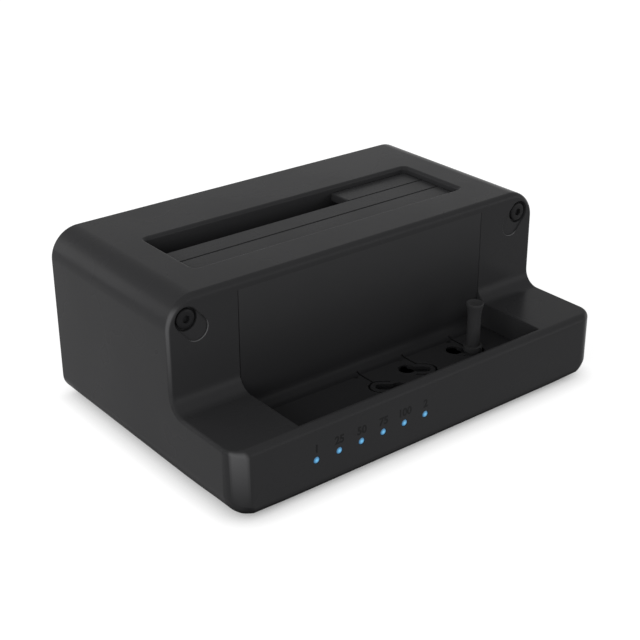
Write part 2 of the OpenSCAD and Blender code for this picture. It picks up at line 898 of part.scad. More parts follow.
// Sleeve that guides the drive down to its socket, with an ear for each shoulder screw
module drive_guide() {
    ear_front_y = step_y + wall;
    color(inner_colour)
        difference() {
            union() {
                difference() {
                    box(
                        [-guide_x, guide_front_y - guide_wall, seat_z - guide_floor_t],
                        [guide_x, guide_back_y + guide_wall, top_in_z]
                    );
                    box([-guide_in_x, guide_front_y, seat_z], [guide_in_x, guide_back_y, top_in_z + past]);
                }
                for (x = [-shoulder_x, shoulder_x])
                    rod_y(x, shoulder_z, ear_front_y, ear_back_y, ear_r);
                for (side = [0, 1])
                    mirror([side, 0, 0])
                        box(
                            [guide_in_x + guide_wall / 2, ear_back_y - ear_web, shoulder_z - ear_r],
                            [shoulder_x, ear_back_y, shoulder_z + ear_r / 2]
                        );
                for (x = [-bay_w / 4, bay_w / 4])
                    rod_y(x, seat_z + peg_rise, step_y + wall + fit + panel_flange_t, guide_front_y, post_r);
            }
            translate([sata_x, sata_y])
                along_z(seat_z - guide_floor_t - past, seat_z + past)
                    square(sata_size + [2 * play, 2 * play], center = true);
            rod_x(hinge_y, hinge_z, -guide_x - past, guide_x + past, rod_r + thread_fit);
            for (x = [-shoulder_x, shoulder_x])
                rod_y(x, shoulder_z, ear_front_y - past, ear_back_y - past, shoulder_shank_r + thread_fit);
            for (x = spring_xs)
                rod_y(
                    x - spring_turns * spring_pitch / 2, spring_leg_z,
                    guide_front_y - guide_wall - past, guide_front_y + past, wire_r + play
                );
        }
}

module shoulder_screws() {
    head_y = step_y + shoulder_recess_depth + shoulder_bore_depth;
    color(metal_colour)
        for (x = [-shoulder_x, shoulder_x])
            difference() {
                union() {
                    rod_y(x, shoulder_z, head_y - shoulder_head_t, head_y, shoulder_head_r);
                    rod_y(x, shoulder_z, head_y - shoulder_head_t, head_y + shoulder_len, shoulder_shank_r);
                }
                rod_y(x, shoulder_z, head_y - shoulder_head_t - past, head_y, shoulder_socket_r);
            }
}

// Flap that closes the slot, notched for the smaller drive, with its hinge knuckles
module drive_flap() {
    face_x = slot_w / 2 - flap_gap;
    face_front_y = slot_front_y + flap_gap;
    face_back_y = slot_back_y - flap_gap;
    notch_x = -slot_w / 2 + notch_w;
    notch_y = slot_back_y - notch_d;
    root_y = hinge_y + knuckle_r + play;
    color(shell_colour)
        difference() {
            union() {
                box(
                    [-slot_w / 2 - flap_rim, root_y, flap_under_z],
                    [slot_w / 2 + flap_rim, face_back_y, flap_top_z]
                );
                box([-face_x, face_front_y, flap_under_z], [face_x, face_back_y, flap_face_z]);
                for (x = knuckle_xs) {
                    rod_x(hinge_y, hinge_z, x - knuckle_len / 2, x + knuckle_len / 2, knuckle_r);
                    box(
                        [x - knuckle_len / 2, hinge_y, flap_under_z],
                        [x + knuckle_len / 2, root_y + past, hinge_z + knuckle_r]
                    );
                }
            }
            rod_x(hinge_y, hinge_z, -slot_w, slot_w, rod_r + thread_fit);
            box(
                [-slot_w, notch_y, flap_under_z - past],
                [notch_x, slot_back_y + past, flap_face_z + past]
            );
            box(
                [notch_x - past, notch_y, flap_face_z - groove_depth],
                [slot_w / 2, notch_y + groove_w, flap_face_z + past]
            );
            box(
                [-slot_w / 2, slot_front_y + groove_from_front, flap_face_z - groove_depth],
                [slot_w / 2, slot_front_y + groove_from_front + groove_w, flap_face_z + past]
            );
        }
}

module flap_hinge_rod() {
    color(metal_colour)
        rod_x(hinge_y, hinge_z, -guide_x, guide_x, rod_r);
}

spring_gap = 0.2;
// Torsion spring: a leg through the guide's front wall, the turns round the rod, and a leg under the flap
spring_r = rod_r + wire_r + spring_gap;
spring_leg_z = hinge_z - spring_r;
spring_sides = 6;
spring_steps = 10;
spring_end_z = flap_under_z - wire_r - fit;
spring_end_y = hinge_y + spring_leg;
function turn_point(x, a) = [
    x + spring_pitch * spring_turns * (a / (360 * spring_turns) - 0.5),
    hinge_y + spring_r * sin(a), hinge_z - spring_r * cos(a)
];
function spring_path(x) = concat(
    [[x - spring_turns * spring_pitch / 2, guide_front_y - guide_wall / 2, spring_leg_z]],
    [for (i = [0 : spring_turns * spring_steps]) turn_point(x, i * 360 / spring_steps)],
    [[x + spring_turns * spring_pitch / 2, spring_end_y, spring_end_z]]
);
function unit(v) = v / norm(v);
function heading(path, i) = unit(path[min(i + 1, len(path) - 1)] - path[max(i - 1, 0)]);
function wire_ring(p, t) =
    let (side = unit(cross(t, [1, 0, 0])), over = cross(side, t), turn = 360 / spring_sides)
    [for (k = [0 : spring_sides - 1]) p + wire_r * (cos(k * turn) * side + sin(k * turn) * over)];

module wire(path) {
    n = len(path);
    s = spring_sides;
    rings = [for (i = [0 : n - 1]) each wire_ring(path[i], heading(path, i))];
    sides = [
        for (i = [0 : n - 2], k = [0 : s - 1])
            each [
                [i * s + k, i * s + (k + 1) % s, (i + 1) * s + k],
                [i * s + (k + 1) % s, (i + 1) * s + (k + 1) % s, (i + 1) * s + k]
            ]
    ];
    ends = [for (k = [1 : s - 2]) each [[0, k + 1, k], [(n - 1) * s, (n - 1) * s + k, (n - 1) * s + k + 1]]];
    polyhedron(rings, concat(sides, ends), convexity = 6);
}

module flap_springs() {
    color(metal_colour)
        for (x = spring_xs)
            wire(spring_path(x));
}

module main_board() {
    color(board_colour)
        difference() {
            box([board_x0, board_front_y, board_z], [board_x1, board_rear_y, board_top_z]);
            for (at = board_post_at)
                post(at, board_z - past, board_top_z + past, small_screw_r + fit);
        }
}

// Small pan-head screw with its head on a board
module small_screw(at, seat) {
    color(metal_colour)
        difference() {
            union() {
                post(at, seat, seat + small_head_t, small_head_r);
                post(at, seat - board_t - small_screw_len + past, seat + small_head_t, small_screw_r);
            }
            post(at, seat + small_head_t / 2, seat + small_head_t + past, small_screw_r);
        }
}

module board_screws() {
    for (at = concat(board_post_at, lamp_post_at))
        small_screw(at, board_top_z);
}

// Block on a board, centred at a place
module chip(at, size, bottom = board_top_z) {
    translate([at[0] - size[0] / 2, at[1] - size[1] / 2, bottom])
        cube(size);
}

// Receptacle that the drive plugs down into
module sata_socket() {
    color(chip_colour)
        difference() {
            chip([sata_x, sata_y], [sata_size[0], sata_size[1], sata_top_z - board_top_z]);
            translate([sata_x0, sata_y - sata_pocket_d / 2, sata_top_z - sata_pocket_depth]) {
                cube([sata_power_w, sata_pocket_d, sata_pocket_depth + past]);
                translate([sata_power_w + sata_rib, 0, 0])
                    cube([sata_signal_w, sata_pocket_d, sata_pocket_depth + past]);
            }
        }
}

// One row of contact blades against the front of a pocket
module blade_row(x0, count) {
    blade_y = sata_y - sata_pocket_d / 2;
    for (i = [1 : count])
        translate([x0 + i * sata_pitch - sata_blade[0] / 2, blade_y, sata_top_z - sata_pocket_depth])
            cube([sata_blade[0], sata_blade[1], sata_pocket_depth - sata_blade_drop]);
}

module sata_contacts() {
    color(gold_colour) {
        blade_row(sata_x0, sata_power_pins);
        blade_row(sata_x0 + sata_power_w + sata_rib, sata_signal_pins);
    }
}

module sata_bridge_chip() {
    color(chip_colour)
        chip([sata_x + (sata_size[0] + bridge_size[0]) / 2 + bridge_gap, bridge_y], bridge_size);
}

module card_bridge_chip() {
    color(chip_colour)
        chip([board_x0 + card_bridge_in, board_row_y], card_bridge_size);
}

module power_coils() {
    color(rubber_colour)
        for (x = [copy_x, copy_x + coil_pitch])
            chip([x, board_row_y], coil_size);
}

module capacitors() {
    color(metal_colour)
        for (x = [can_from_inlet[0], can_from_inlet[1], can_from_inlet[1] + can_pitch])
            post([inlet_x + x, can_y], board_top_z, board_top_z + can_h, can_r);
}

module clock_crystal() {
    color(metal_colour)
        chip([board_x0 + crystal_in, board_row_y], crystal_size);
}

// Outline of the data port's mouth, grown by a margin
module data_outline(margin) {
    r = data_size[1] / 2 + margin;
    half = data_size[0] / 2 + margin;
    translate([r - half, 0]) circle(r);
    translate([half - r, 0]) circle(r);
    square([2 * (half - r), 2 * r], center = true);
}

module data_port_shell() {
    color(metal_colour)
        translate([data_port_x, 0, data_z])
            difference() {
                along_y(rear_in_y + play - data_len, rear_in_y + play) data_outline(0);
                along_y(rear_in_y + play - data_len + data_back, rear_in_y + past) data_outline(-data_wall);
            }
}

module data_port_tongue() {
    color(chip_colour)
        translate([data_port_x, 0, data_z])
            along_y(rear_in_y + play - data_len + data_back, rear_in_y - contact_recess)
                square(data_tongue, center = true);
}

// Barrel inlet for the power lead
module power_inlet() {
    back_y = port_panel_y - inlet_size[1];
    color(chip_colour)
        difference() {
            union() {
                chip([inlet_x, back_y + inlet_size[1] / 2], inlet_size);
                rod_y(inlet_x, inlet_z, back_y + inlet_back, rear_in_y + play, inlet_nose_r);
            }
            rod_y(inlet_x, inlet_z, back_y + inlet_back, rear_y, inlet_r);
        }
}

module power_inlet_pin() {
    back_y = port_panel_y - inlet_size[1] + inlet_back;
    color(metal_colour)
        rod_y(inlet_x, inlet_z, back_y, rear_in_y - contact_recess, inlet_pin_r);
}

// Frame of the power switch, which stands on the board and shows its bezel behind the rear window
module rocker_switch() {
    front_of_bezel = rear_in_y + rocker_bezel[1];
    body_back_y = rear_in_y - rocker_body[1];
    color(chip_colour)
        difference() {
            union() {
                box(
                    [rocker_x - rocker_body[0] / 2, body_back_y, rocker_z - rocker_body[2] / 2],
                    [rocker_x + rocker_body[0] / 2, rear_in_y + fit, rocker_z + rocker_body[2] / 2]
                );
                box(
                    [rocker_x - rocker_bezel[0] / 2, rear_in_y, rocker_z - rocker_bezel[2] / 2],
                    [rocker_x + rocker_bezel[0] / 2, front_of_bezel, rocker_z + rocker_bezel[2] / 2]
                );
            }
            box(
                [rocker_x - rocker_cavity[0] / 2, body_back_y + rocker_back, rocker_z - rocker_cavity[1] / 2],
                [rocker_x + rocker_cavity[0] / 2, rear_y, rocker_z + rocker_cavity[1] / 2]
            );
            translate([rocker_x, rocker_pivot_y, rocker_z])
                cylinder(
                    h = rocker_cavity[1] + 2 * rocker_pivot_end + 4 * fit,
                    r = rocker_pivot_r + thread_fit, center = true
                );
        }
}

// Rocker in its off position, tilted about its two pivots
module power_rocker() {
    half = rocker_size[0] / 2;
    color(inner_colour)
        translate([rocker_x, rocker_pivot_y, rocker_z])
            rotate([0, 0, rocker_tilt]) {
                translate([0, 0, -rocker_size[1] / 2])
                    linear_extrude(rocker_size[1])
                        polygon([
                            [-half, rocker_peak], [-half + rocker_foot[0], -rocker_foot[1]],
                            [0, -rocker_keel],
                            [half - rocker_foot[0], -rocker_foot[1]], [half, rocker_peak],
                            [0, rocker_dip]
                        ]);
                cylinder(h = rocker_cavity[1] + 2 * rocker_pivot_end, r = rocker_pivot_r, center = true);
            }
}

module copy_switch() {
    color(chip_colour)
        difference() {
            chip([copy_x, copy_switch_y - copy_switch_size[1] / 2], copy_switch_size);
            rod_y(
                copy_x, copy_z, copy_switch_y - copy_travel - play, copy_switch_y + past,
                copy_plunger_r + play
            );
        }
}

module copy_plunger() {
    color(metal_colour)
        rod_y(copy_x, copy_z, copy_switch_y, copy_flange_y, copy_plunger_r);
}

// Push button that starts a copy, held behind the rear panel by its flange
module copy_button() {
    color(inner_colour) {
        rod_y(copy_x, copy_z, copy_flange_y, copy_flange_y + copy_flange_t, copy_flange_r);
        rod_y(copy_x, copy_z, copy_flange_y, rear_in_y + copy_stand, copy_r);
    }
}

// Side board behind the left wall of the bay, which carries the card's socket
module card_board() {
    x0 = -side_in_x + card_board_side;
    x1 = -bay_w / 2 - skirt_t;
    color(board_colour)
        difference() {
            box([x0, card_socket_y[0] - play, card_board_z], [x1, header_y[1], card_board_top_z]);
            for (at = card_screw_at)
                post(at, card_board_z - past, card_board_top_z + past, small_screw_r + fit);
        }
}

module card_socket() {
    color(chip_colour)
        difference() {
            box(
                [card_socket_x[0], card_socket_y[0], card_board_top_z],
                [card_socket_x[1], card_socket_y[1], card_board_top_z + card_socket_h]
            );
            box(
                [card_socket_x[0] + card_socket_back, card_y - card_mouth_w / 2, card_z - fit],
                [card_socket_x[1] + past, card_y + card_mouth_w / 2, card_z + card_mouth_h]
            );
        }
}

module card_contacts() {
    count = floor(card_mouth_w / card_contact_pitch) - 1;
    row_y = card_y - (count - 1) / 2 * card_contact_pitch - card_contact[1] / 2;
    color(gold_colour)
        for (i = [0 : count - 1])
            translate([card_socket_x[0] + card_socket_back, row_y + i * card_contact_pitch, card_z - fit])
                cube(card_contact);
}

module card_board_screws() {
    color(metal_colour)
        for (at = card_screw_at)
            difference() {
                union() {
                    post(at, card_board_z - small_head_t, card_board_z, small_head_r);
                    post(
                        at, card_board_z - small_head_t, card_board_top_z + small_screw_len - past,
                        small_screw_r
                    );
                }
                post(at, card_board_z - small_head_t - past, card_board_z - small_head_t / 2, small_screw_r);
            }
}

// Mezzanine connector between the card board and the main board
module board_header() {
    color(chip_colour)
        box([board_x0, header_y[0], board_top_z], [board_x0 + header_w, header_y[1], card_board_z]);
}

module lamp_board() {
    color(board_colour)
        difference() {
            box(
                [lamp_board_x[0], lamp_board_y[0], board_z],
                [lamp_board_x[1], lamp_board_y[1], board_top_z]
            );
            for (at = lamp_post_at)
                post(at, board_z - past, board_top_z + past, small_screw_r + fit);
        }
}

module lamps() {
    color(lamp_colour)
        for (x = light_xs)
            chip([x, lamp_y + lamp_d / 2], [lamp_size, lamp_d, lamp_size]);
}

// Clear rods that carry the light to the front face
module light_pipes() {
    color(lamp_colour)
        for (x = light_xs)
            rod_y(x, light_z, front_y + thread_fit, front_y + pipe_len, light_r);
}

module ribbon() {
    color(metal_colour)
        box(
            [ribbon_x - ribbon_w / 2, lamp_board_y[1] - ribbon_lap, board_top_z],
            [ribbon_x + ribbon_w / 2, board_front_y + ribbon_lap, board_top_z + ribbon_t]
        );
}

module ribbon_sockets() {
    color(chip_colour) {
        chip([ribbon_x, lamp_board_y[1] - ribbon_lap - ribbon_socket[1] / 2], ribbon_socket);
        chip([ribbon_x, board_front_y + ribbon_lap + ribbon_socket[1] / 2], ribbon_socket);
    }
}

upper_housing();
base_cover();
rubber_feet();
base_screws();
rear_panel();
bay_panel();
fixing_pin();
drive_guide();
shoulder_screws();
drive_flap();
flap_hinge_rod();
flap_springs();
main_board();
board_screws();
sata_socket();
sata_contacts();
sata_bridge_chip();
card_bridge_chip();
power_coils();
capacitors();
clock_crystal();
data_port_shell();
data_port_tongue();
power_inlet();
power_inlet_pin();
rocker_switch();
power_rocker();
copy_switch();
copy_plunger();
copy_button();
card_board();
card_socket();
card_contacts();
card_board_screws();
board_header();
lamp_board();
lamps();
light_pipes();
ribbon();
ribbon_sockets();
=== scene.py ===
"""Dressed model of a desktop drive dock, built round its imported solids.

Sizes are in millimetres until a piece is settled. X is the width, Y runs rearwards and Z is up.
"""
import logging
import math
from contextlib import contextmanager
from dataclasses import dataclass
from enum import Enum
from typing import Callable, Iterator, List, Optional, Sequence, Tuple

import bmesh
import bpy
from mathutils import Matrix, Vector


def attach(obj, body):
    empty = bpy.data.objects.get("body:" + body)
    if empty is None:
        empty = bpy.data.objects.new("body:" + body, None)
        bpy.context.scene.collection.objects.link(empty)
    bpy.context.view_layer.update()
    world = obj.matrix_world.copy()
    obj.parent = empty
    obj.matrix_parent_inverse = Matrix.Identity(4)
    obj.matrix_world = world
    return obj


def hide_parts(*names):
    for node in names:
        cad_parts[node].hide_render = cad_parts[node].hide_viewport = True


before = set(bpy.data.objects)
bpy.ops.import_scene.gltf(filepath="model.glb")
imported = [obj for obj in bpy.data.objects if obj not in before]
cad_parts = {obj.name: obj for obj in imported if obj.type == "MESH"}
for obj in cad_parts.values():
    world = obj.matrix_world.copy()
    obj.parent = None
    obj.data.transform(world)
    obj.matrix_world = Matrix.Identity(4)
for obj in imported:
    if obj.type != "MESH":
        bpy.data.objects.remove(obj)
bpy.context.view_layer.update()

MM = 0.001
# Distances within which two places count as one, for a test and for merged points.
TINY = 0.02
MERGE = TINY / 10
# How far a cutting solid reaches past what it cuts.
PAST = 1.0
# Share of a unit vector along an axis from which it counts as lying along it, and as exactly along it.
ALIGNED = 0.9
EXACT = 0.999
# Convex angles in degrees from which an edge counts as one of the form, of an opening and of a turning.
FORM_EDGE = 60.0
RIM_EDGE = 50.0
TURNED_EDGE = 35.0
# Angles in degrees under which two faces count as one flat face, and over which an edge is shaded sharp.
FLAT_ANGLE = 0.5
CREASE = 38.0
# Percentage by which large faces draw the normals of their corners.
NORMAL_WEIGHT = 80
# Thickness of printed ink, height of a figure by its type size, and how much bolder its strokes are made.
INK = 0.01
FIGURE_SHARE = 0.7
BOLD = 0.05
# Numbers of a colour Mix node's inputs and output.
FACTOR, FIRST, SECOND, MIXED = 0, 6, 7, 2
# Detail of the two noises, and the part of the slow one over which the gloss changes.
PATCH_DETAIL = 3.0
GRAIN_DETAIL = 2.0
PATCH_RANGE = (0.3, 0.7)

Piece = bpy.types.Object
Tree = bpy.types.NodeTree
Socket = bpy.types.NodeSocket
Pair = Tuple[float, float]
Point = Tuple[float, float, float]
Profile = Tuple[Pair, ...]
PlaceTest = Callable[[Vector, Vector], bool]
PlaceValue = Callable[[Vector, Vector], float]
EdgeRadius = Callable[[Vector, Vector, float], float]

log = logging.getLogger("dock")


class Body(Enum):
    """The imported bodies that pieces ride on."""

    DOCK = "dock"
    FLAP = "flap"
    PIN = "pin"
    ROCKER = "rocker"
    COPY_KEY = "copy_key"


class Slot(Enum):
    """The record's material slots of the pieces modelled here."""

    SHELL = "shell"
    INNER = "inner_plastic"
    KEY = "key_plastic"
    RUBBER = "rubber"
    DARK_STEEL = "dark_steel"
    PIPE = "light_pipe"


class Cut(Enum):
    """What a second solid does to a piece."""

    AWAY = "DIFFERENCE"
    TOGETHER = "UNION"


class Facing(Enum):
    """Turns a shape made along Z to face another way, as Euler angles."""

    UP = (0.0, 0.0, 0.0)
    FRONT = (math.pi / 2, 0.0, 0.0)
    REAR = (-math.pi / 2, 0.0, 0.0)
    RIGHT = (0.0, math.pi / 2, 0.0)


@dataclass(frozen=True)
class Plan:
    """Places that several sub-assemblies share."""

    front: float = -47.6
    rear: float = 47.6
    step: float = -17.5
    bottom: float = 1.2
    bay_floor: float = 13.6
    shoulder: Pair = (63.6, 48.4)
    light_first: float = -43.1
    light_pitch: float = 8.0
    light_count: int = 6
    light_z: float = 11.0


PLAN = Plan()


def linear(colour: str) -> Tuple[float, float, float, float]:
    """Turns an sRGB hex colour to linear light.

    Args:
        colour: six hex digits after a hash.

    Returns:
        Red, green, blue and an alpha of one.
    """
    parts = [int(colour[i:i + 2], 16) / 255 for i in (1, 3, 5)]
    red, green, blue = (p / 12.92 if p <= 0.04045 else ((p + 0.055) / 1.055) ** 2.4 for p in parts)
    return red, green, blue, 1.0


def add_node(tree: Tree, kind: str, inputs: Optional[dict] = None, **settings) -> bpy.types.Node:
    """Adds a node with its settings, values and links.

    Args:
        tree: the node tree.
        kind: Blender's name of the node type.
        inputs: values or sockets by the name or number of the input.
        settings: properties of the node.

    Returns:
        The new node.
    """
    node = tree.nodes.new(kind)
    for name, value in settings.items():
        setattr(node, name, value)
    for name, value in (inputs or {}).items():
        if isinstance(value, bpy.types.NodeSocket):
            tree.links.new(value, node.inputs[name])
        else:
            node.inputs[name].default_value = value
    return node


def ramp(value: float, start: float, end: float) -> float:
    """Rises smoothly from nothing at the start to one at the end, which may be the lower."""
    share = min(1.0, max(0.0, (value - start) / (end - start)))
    return share * share * (3 - 2 * share)


def window(value: float, rise: Pair, fall: Pair) -> float:
    """Rises over one range and falls over another, each given as the ends of a ramp."""
    return ramp(value, *rise) * ramp(value, *fall)


def per_mm(size: float) -> float:
    """Texture scale at which one feature is the given number of millimetres across."""
    return 1 / (size * MM)


class Bench:
    """The hand tools: each adds a primitive, shapes it in edit mode or applies a modifier."""

    @staticmethod
    def clear() -> None:
        """Deselects everything, because an operator acts on all that is selected."""
        bpy.ops.object.select_all(action="DESELECT")

    @staticmethod
    def only(piece: Piece) -> None:
        """Makes a piece the only selected one and the active one.

        Args:
            piece: the piece.
        """
        Bench.clear()
        piece.select_set(True)
        bpy.context.view_layer.objects.active = piece

    @staticmethod
    def fix(piece: Piece, **place) -> Piece:
        """Puts a piece's place, turn and scale into its mesh.

        Args:
            piece: the piece.
            place: properties of the piece to set first, such as its name or location.

        Returns:
            The same piece.
        """
        for name, value in place.items():
            setattr(piece, name, value)
        Bench.only(piece)
        bpy.ops.object.transform_apply(location=True, rotation=True, scale=True)
        return piece

    @staticmethod
    def box(name: str, low: Point, high: Point) -> Piece:
        """Adds a cube between two corners.

        Args:
            name: the piece's name.
            low: its lowest corner.
            high: its highest corner.

        Returns:
            The new piece.
        """
        low, high = Vector(low), Vector(high)
        Bench.clear()
        bpy.ops.mesh.primitive_cube_add(size=1, location=(low + high) / 2, scale=high - low)
        return Bench.fix(bpy.context.object, name=name)

    @staticmethod
    def bar(name: str, start: Point, facing: Facing, length: float, radius: float, sides: int) -> Piece:
        """Adds a round bar.

        Args:
            name: the piece's name.
            start: the middle of its first end.
            facing: the way it points.
            length: its length.
            radius: its radius.
            sides: the number of its sides.

        Returns:
            The new piece.
        """
        return Bench.turned(name, [(radius, 0.0), (radius, length)], start, facing, sides)

    @staticmethod
    def turned(name: str, profile: Sequence[Pair], at: Point, facing: Facing, sides: int) -> Piece:
        """Draws a round piece out of a cone, ring by ring, as on a lathe.

        Args:
            name: the piece's name.
            profile: radius and height of each ring.
            at: where the profile's origin goes.
            facing: the way its height points.
            sides: the number of sides.

        Returns:
            The new piece.
        """
        (r0, z0), (r1, z1) = profile[:2]
        Bench.clear()
        bpy.ops.mesh.primitive_cone_add(
            vertices=sides, radius1=r0, radius2=r1, depth=z1 - z0, location=(0, 0, (z0 + z1) / 2)
        )
        piece = Bench.fix(bpy.context.object, name=name)
        with Bench.editing(piece, "FACE"):
            Bench.pick_faces(piece, lambda c, n: n.z > ALIGNED and c.z > z1 - TINY / 2)
            for (ra, za), (rb, zb) in zip(profile[1:], profile[2:]):
                bpy.ops.mesh.extrude_region_move(TRANSFORM_OT_translate={"value": (0, 0, zb - za)})
                bpy.ops.transform.resize(value=(rb / ra, rb / ra, 1), center_override=(0, 0, zb))
            Bench.face_out()
        return Bench.fix(piece, rotation_euler=facing.value, location=at)

    @staticmethod
    @contextmanager
    def editing(piece: Piece, mode: str = "EDGE") -> Iterator[None]:
        """Edit mode on one piece, with nothing selected at first.

        Args:
            piece: the piece.
            mode: VERT, EDGE or FACE selection.
        """
        Bench.only(piece)
        bpy.ops.object.mode_set(mode="EDIT")
        bpy.ops.mesh.select_mode(type=mode)
        bpy.ops.mesh.select_all(action="DESELECT")
        try:
            yield
        finally:
            bpy.ops.object.mode_set(mode="OBJECT")

    @staticmethod
    def face_out() -> None:
        """Turns the faces of the piece in edit mode outwards."""
        bpy.ops.mesh.select_all(action="SELECT")
        bpy.ops.mesh.normals_make_consistent(inside=False)

    @staticmethod
    def split(at: Point, normal: Point) -> None:
        """Splits the faces of the piece in edit mode along a plane."""
        bpy.ops.mesh.select_all(action="SELECT")
        bpy.ops.mesh.bisect(plane_co=at, plane_no=normal, threshold=MERGE)

    @staticmethod
    def pick_faces(piece: Piece, test: PlaceTest) -> None:
        """Selects faces in edit mode.

        Args:
            piece: the piece.
            test: takes a face's centre and normal.
        """
        work = bmesh.from_edit_mesh(piece.data)
        for face in work.faces:
            face.select_set(test(face.calc_center_median(), face.normal))
        bmesh.update_edit_mesh(piece.data)

    @staticmethod
    def bevel(piece: Piece, test: PlaceTest, radius: float, facets: int) -> None:
        """Rounds the edges that pass a test.

        Args:
            piece: the piece.
            test: takes an edge's middle and direction.
            radius: the radius.
            facets: the facets of the rounding.
        """
        with Bench.editing(piece):
            work = bmesh.from_edit_mesh(piece.data)
            for edge in work.edges:
                a, b = (v.co for v in edge.verts)
                edge.select_set(test((a + b) / 2, (b - a).normalized()))
            bmesh.update_edit_mesh(piece.data)
            bpy.ops.mesh.bevel(
                offset=radius, segments=facets, profile=0.5, affect="EDGES", clamp_overlap=False
            )

    @staticmethod
    def ease(piece: Piece, radius_of: EdgeRadius, largest: float, facets: int) -> None:
        """Rounds edges, each by its own radius, with a bevel modifier.

        Args:
            piece: the piece.
            radius_of: gives the radius from an edge's middle, direction and convex angle in degrees.
            largest: the largest of the radii.
            facets: the facets of each rounding.
        """
        work = bmesh.new()
        work.from_mesh(piece.data)
        weights = []
        for edge in work.edges:
            a, b = (v.co for v in edge.verts)
            angle = math.degrees(edge.calc_face_angle_signed(0.0))
            weights.append(radius_of((a + b) / 2, (b - a).normalized(), angle) / largest)
        work.free()
        layer = piece.data.attributes.new("bevel_weight_edge", "FLOAT", "EDGE")
        layer.data.foreach_set("value", weights)
        Bench.apply(
            piece, "BEVEL", width=largest, segments=facets, limit_method="WEIGHT",
            use_clamp_overlap=False, offset_type="OFFSET"
        )
        layer = piece.data.attributes.get("bevel_weight_edge")
        if layer is not None:
            piece.data.attributes.remove(layer)

    @staticmethod
    def apply(piece: Piece, kind: str, **settings) -> None:
        """Adds a modifier and applies it.

        Args:
            piece: the piece.
            kind: Blender's name of the modifier type.
            settings: properties of the modifier.
        """
        modifier = piece.modifiers.new(kind.lower(), kind)
        for name, value in settings.items():
            setattr(modifier, name, value)
        Bench.only(piece)
        bpy.ops.object.modifier_apply(modifier=modifier.name)

    @staticmethod
    def cut(piece: Piece, tool: Piece, how: Cut = Cut.AWAY) -> None:
        """Cuts a solid out of a piece or joins it on, and takes the solid off the bench."""
        Bench.apply(piece, "BOOLEAN", operation=how.value, solver="EXACT", object=tool)
        bpy.data.objects.remove(tool)

    @staticmethod
    def note(piece: Piece, name: str, value_of: PlaceValue) -> None:
        """Writes a value on each point of a piece, from its place and normal, for its finish to read."""
        values = [value_of(v.co, v.normal) for v in piece.data.vertices]
        piece.data.attributes.new(name, "FLOAT", "POINT").data.foreach_set("value", values)

    @staticmethod
    def printed(name: str, signs: Sequence[Tuple[str, Point, Point]], height: float) -> Piece:
        """Prints signs as a thin film of ink.

        Args:
            name: the piece's name.
            signs: what each says, its middle and its Euler angles; unturned, it lies face up along X.
            height: the height of the figures.

        Returns:
            One piece with all the signs.
        """
        films = []
        for words, at, turn in signs:
            Bench.clear()
            bpy.ops.object.text_add()
            text = bpy.context.object.data
            text.body = words
            text.size = height / FIGURE_SHARE
            text.align_x = text.align_y = "CENTER"
            text.extrude = INK
            text.offset = BOLD * height
            bpy.ops.object.convert(target="MESH")
            films.append(Bench.fix(bpy.context.object, rotation_euler=turn, location=at))
        return Bench.joined(name, films)

    @staticmethod
    def flatten(piece: Piece) -> None:
        """Merges doubles and dissolves the edges inside flat faces.

        Args:
            piece: the piece.
        """
        with Bench.editing(piece, "VERT"):
            bpy.ops.mesh.select_all(action="SELECT")
            bpy.ops.mesh.remove_doubles(threshold=MERGE)
            bpy.ops.mesh.dissolve_limited(angle_limit=math.radians(FLAT_ANGLE))

    @staticmethod
    def copied(name: str, node: str) -> Piece:
        """Copies a node's solid to the bench in millimetres, merged.

        Args:
            name: the new piece's name.
            node: the node that it copies.

        Returns:
            The copy.
        """
        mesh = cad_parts[node].data.copy()
        mesh.materials.clear()
        piece = bpy.data.objects.new(name, mesh)
        bpy.context.scene.collection.objects.link(piece)
        Bench.fix(piece, scale=(1 / MM,) * 3)
        Bench.flatten(piece)
        return piece

    @staticmethod
    def repeated(name: str, piece: Piece, moves: Sequence[Point]) -> Piece:
        """Copies a piece to other places.

        Args:
            name: the name of the whole.
            piece: the first of the set.
            moves: the way from it to each of the others.

        Returns:
            One piece with the whole set.
        """
        pieces = [piece]
        for move in moves:
            twin = piece.copy()
            twin.data = piece.data.copy()
            bpy.context.scene.collection.objects.link(twin)
            pieces.append(Bench.fix(twin, location=move))
        return Bench.joined(name, pieces)

    @staticmethod
    def joined(name: str, pieces: Sequence[Piece]) -> Piece:
        """Joins pieces that don't touch.

        Args:
            name: the name of the whole.
            pieces: the pieces.

        Returns:
            One piece with all of them.
        """
        Bench.only(pieces[0])
        for piece in pieces:
            piece.select_set(True)
        bpy.ops.object.join()
        whole = bpy.context.object
        whole.name = name
        return whole

    @staticmethod
    def settle(
        piece: Piece, body: Body, slot: Slot, finish: bpy.types.Material, stands_for: Sequence[str] = ()
    ) -> None:
        """Brings a piece to metres, smooths it, gives it its finish and hands it to its body.

        Args:
            piece: the piece, in millimetres.
            body: the body that it rides on.
            slot: the record's material slot; not used.
            finish: its material.
            stands_for: the nodes that it replaces.
        """
        Bench.fix(piece, scale=(MM,) * 3)
        bpy.ops.object.shade_smooth_by_angle(angle=math.radians(CREASE))
        Bench.apply(piece, "WEIGHTED_NORMAL", keep_sharp=True, weight=NORMAL_WEIGHT)
        piece.data.materials.clear()
        piece.data.materials.append(finish)
        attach(piece, body.value)
        if stands_for:
            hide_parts(*stands_for)
        log.info("%s: %d faces on %s", piece.name, len(piece.data.polygons), body.value)


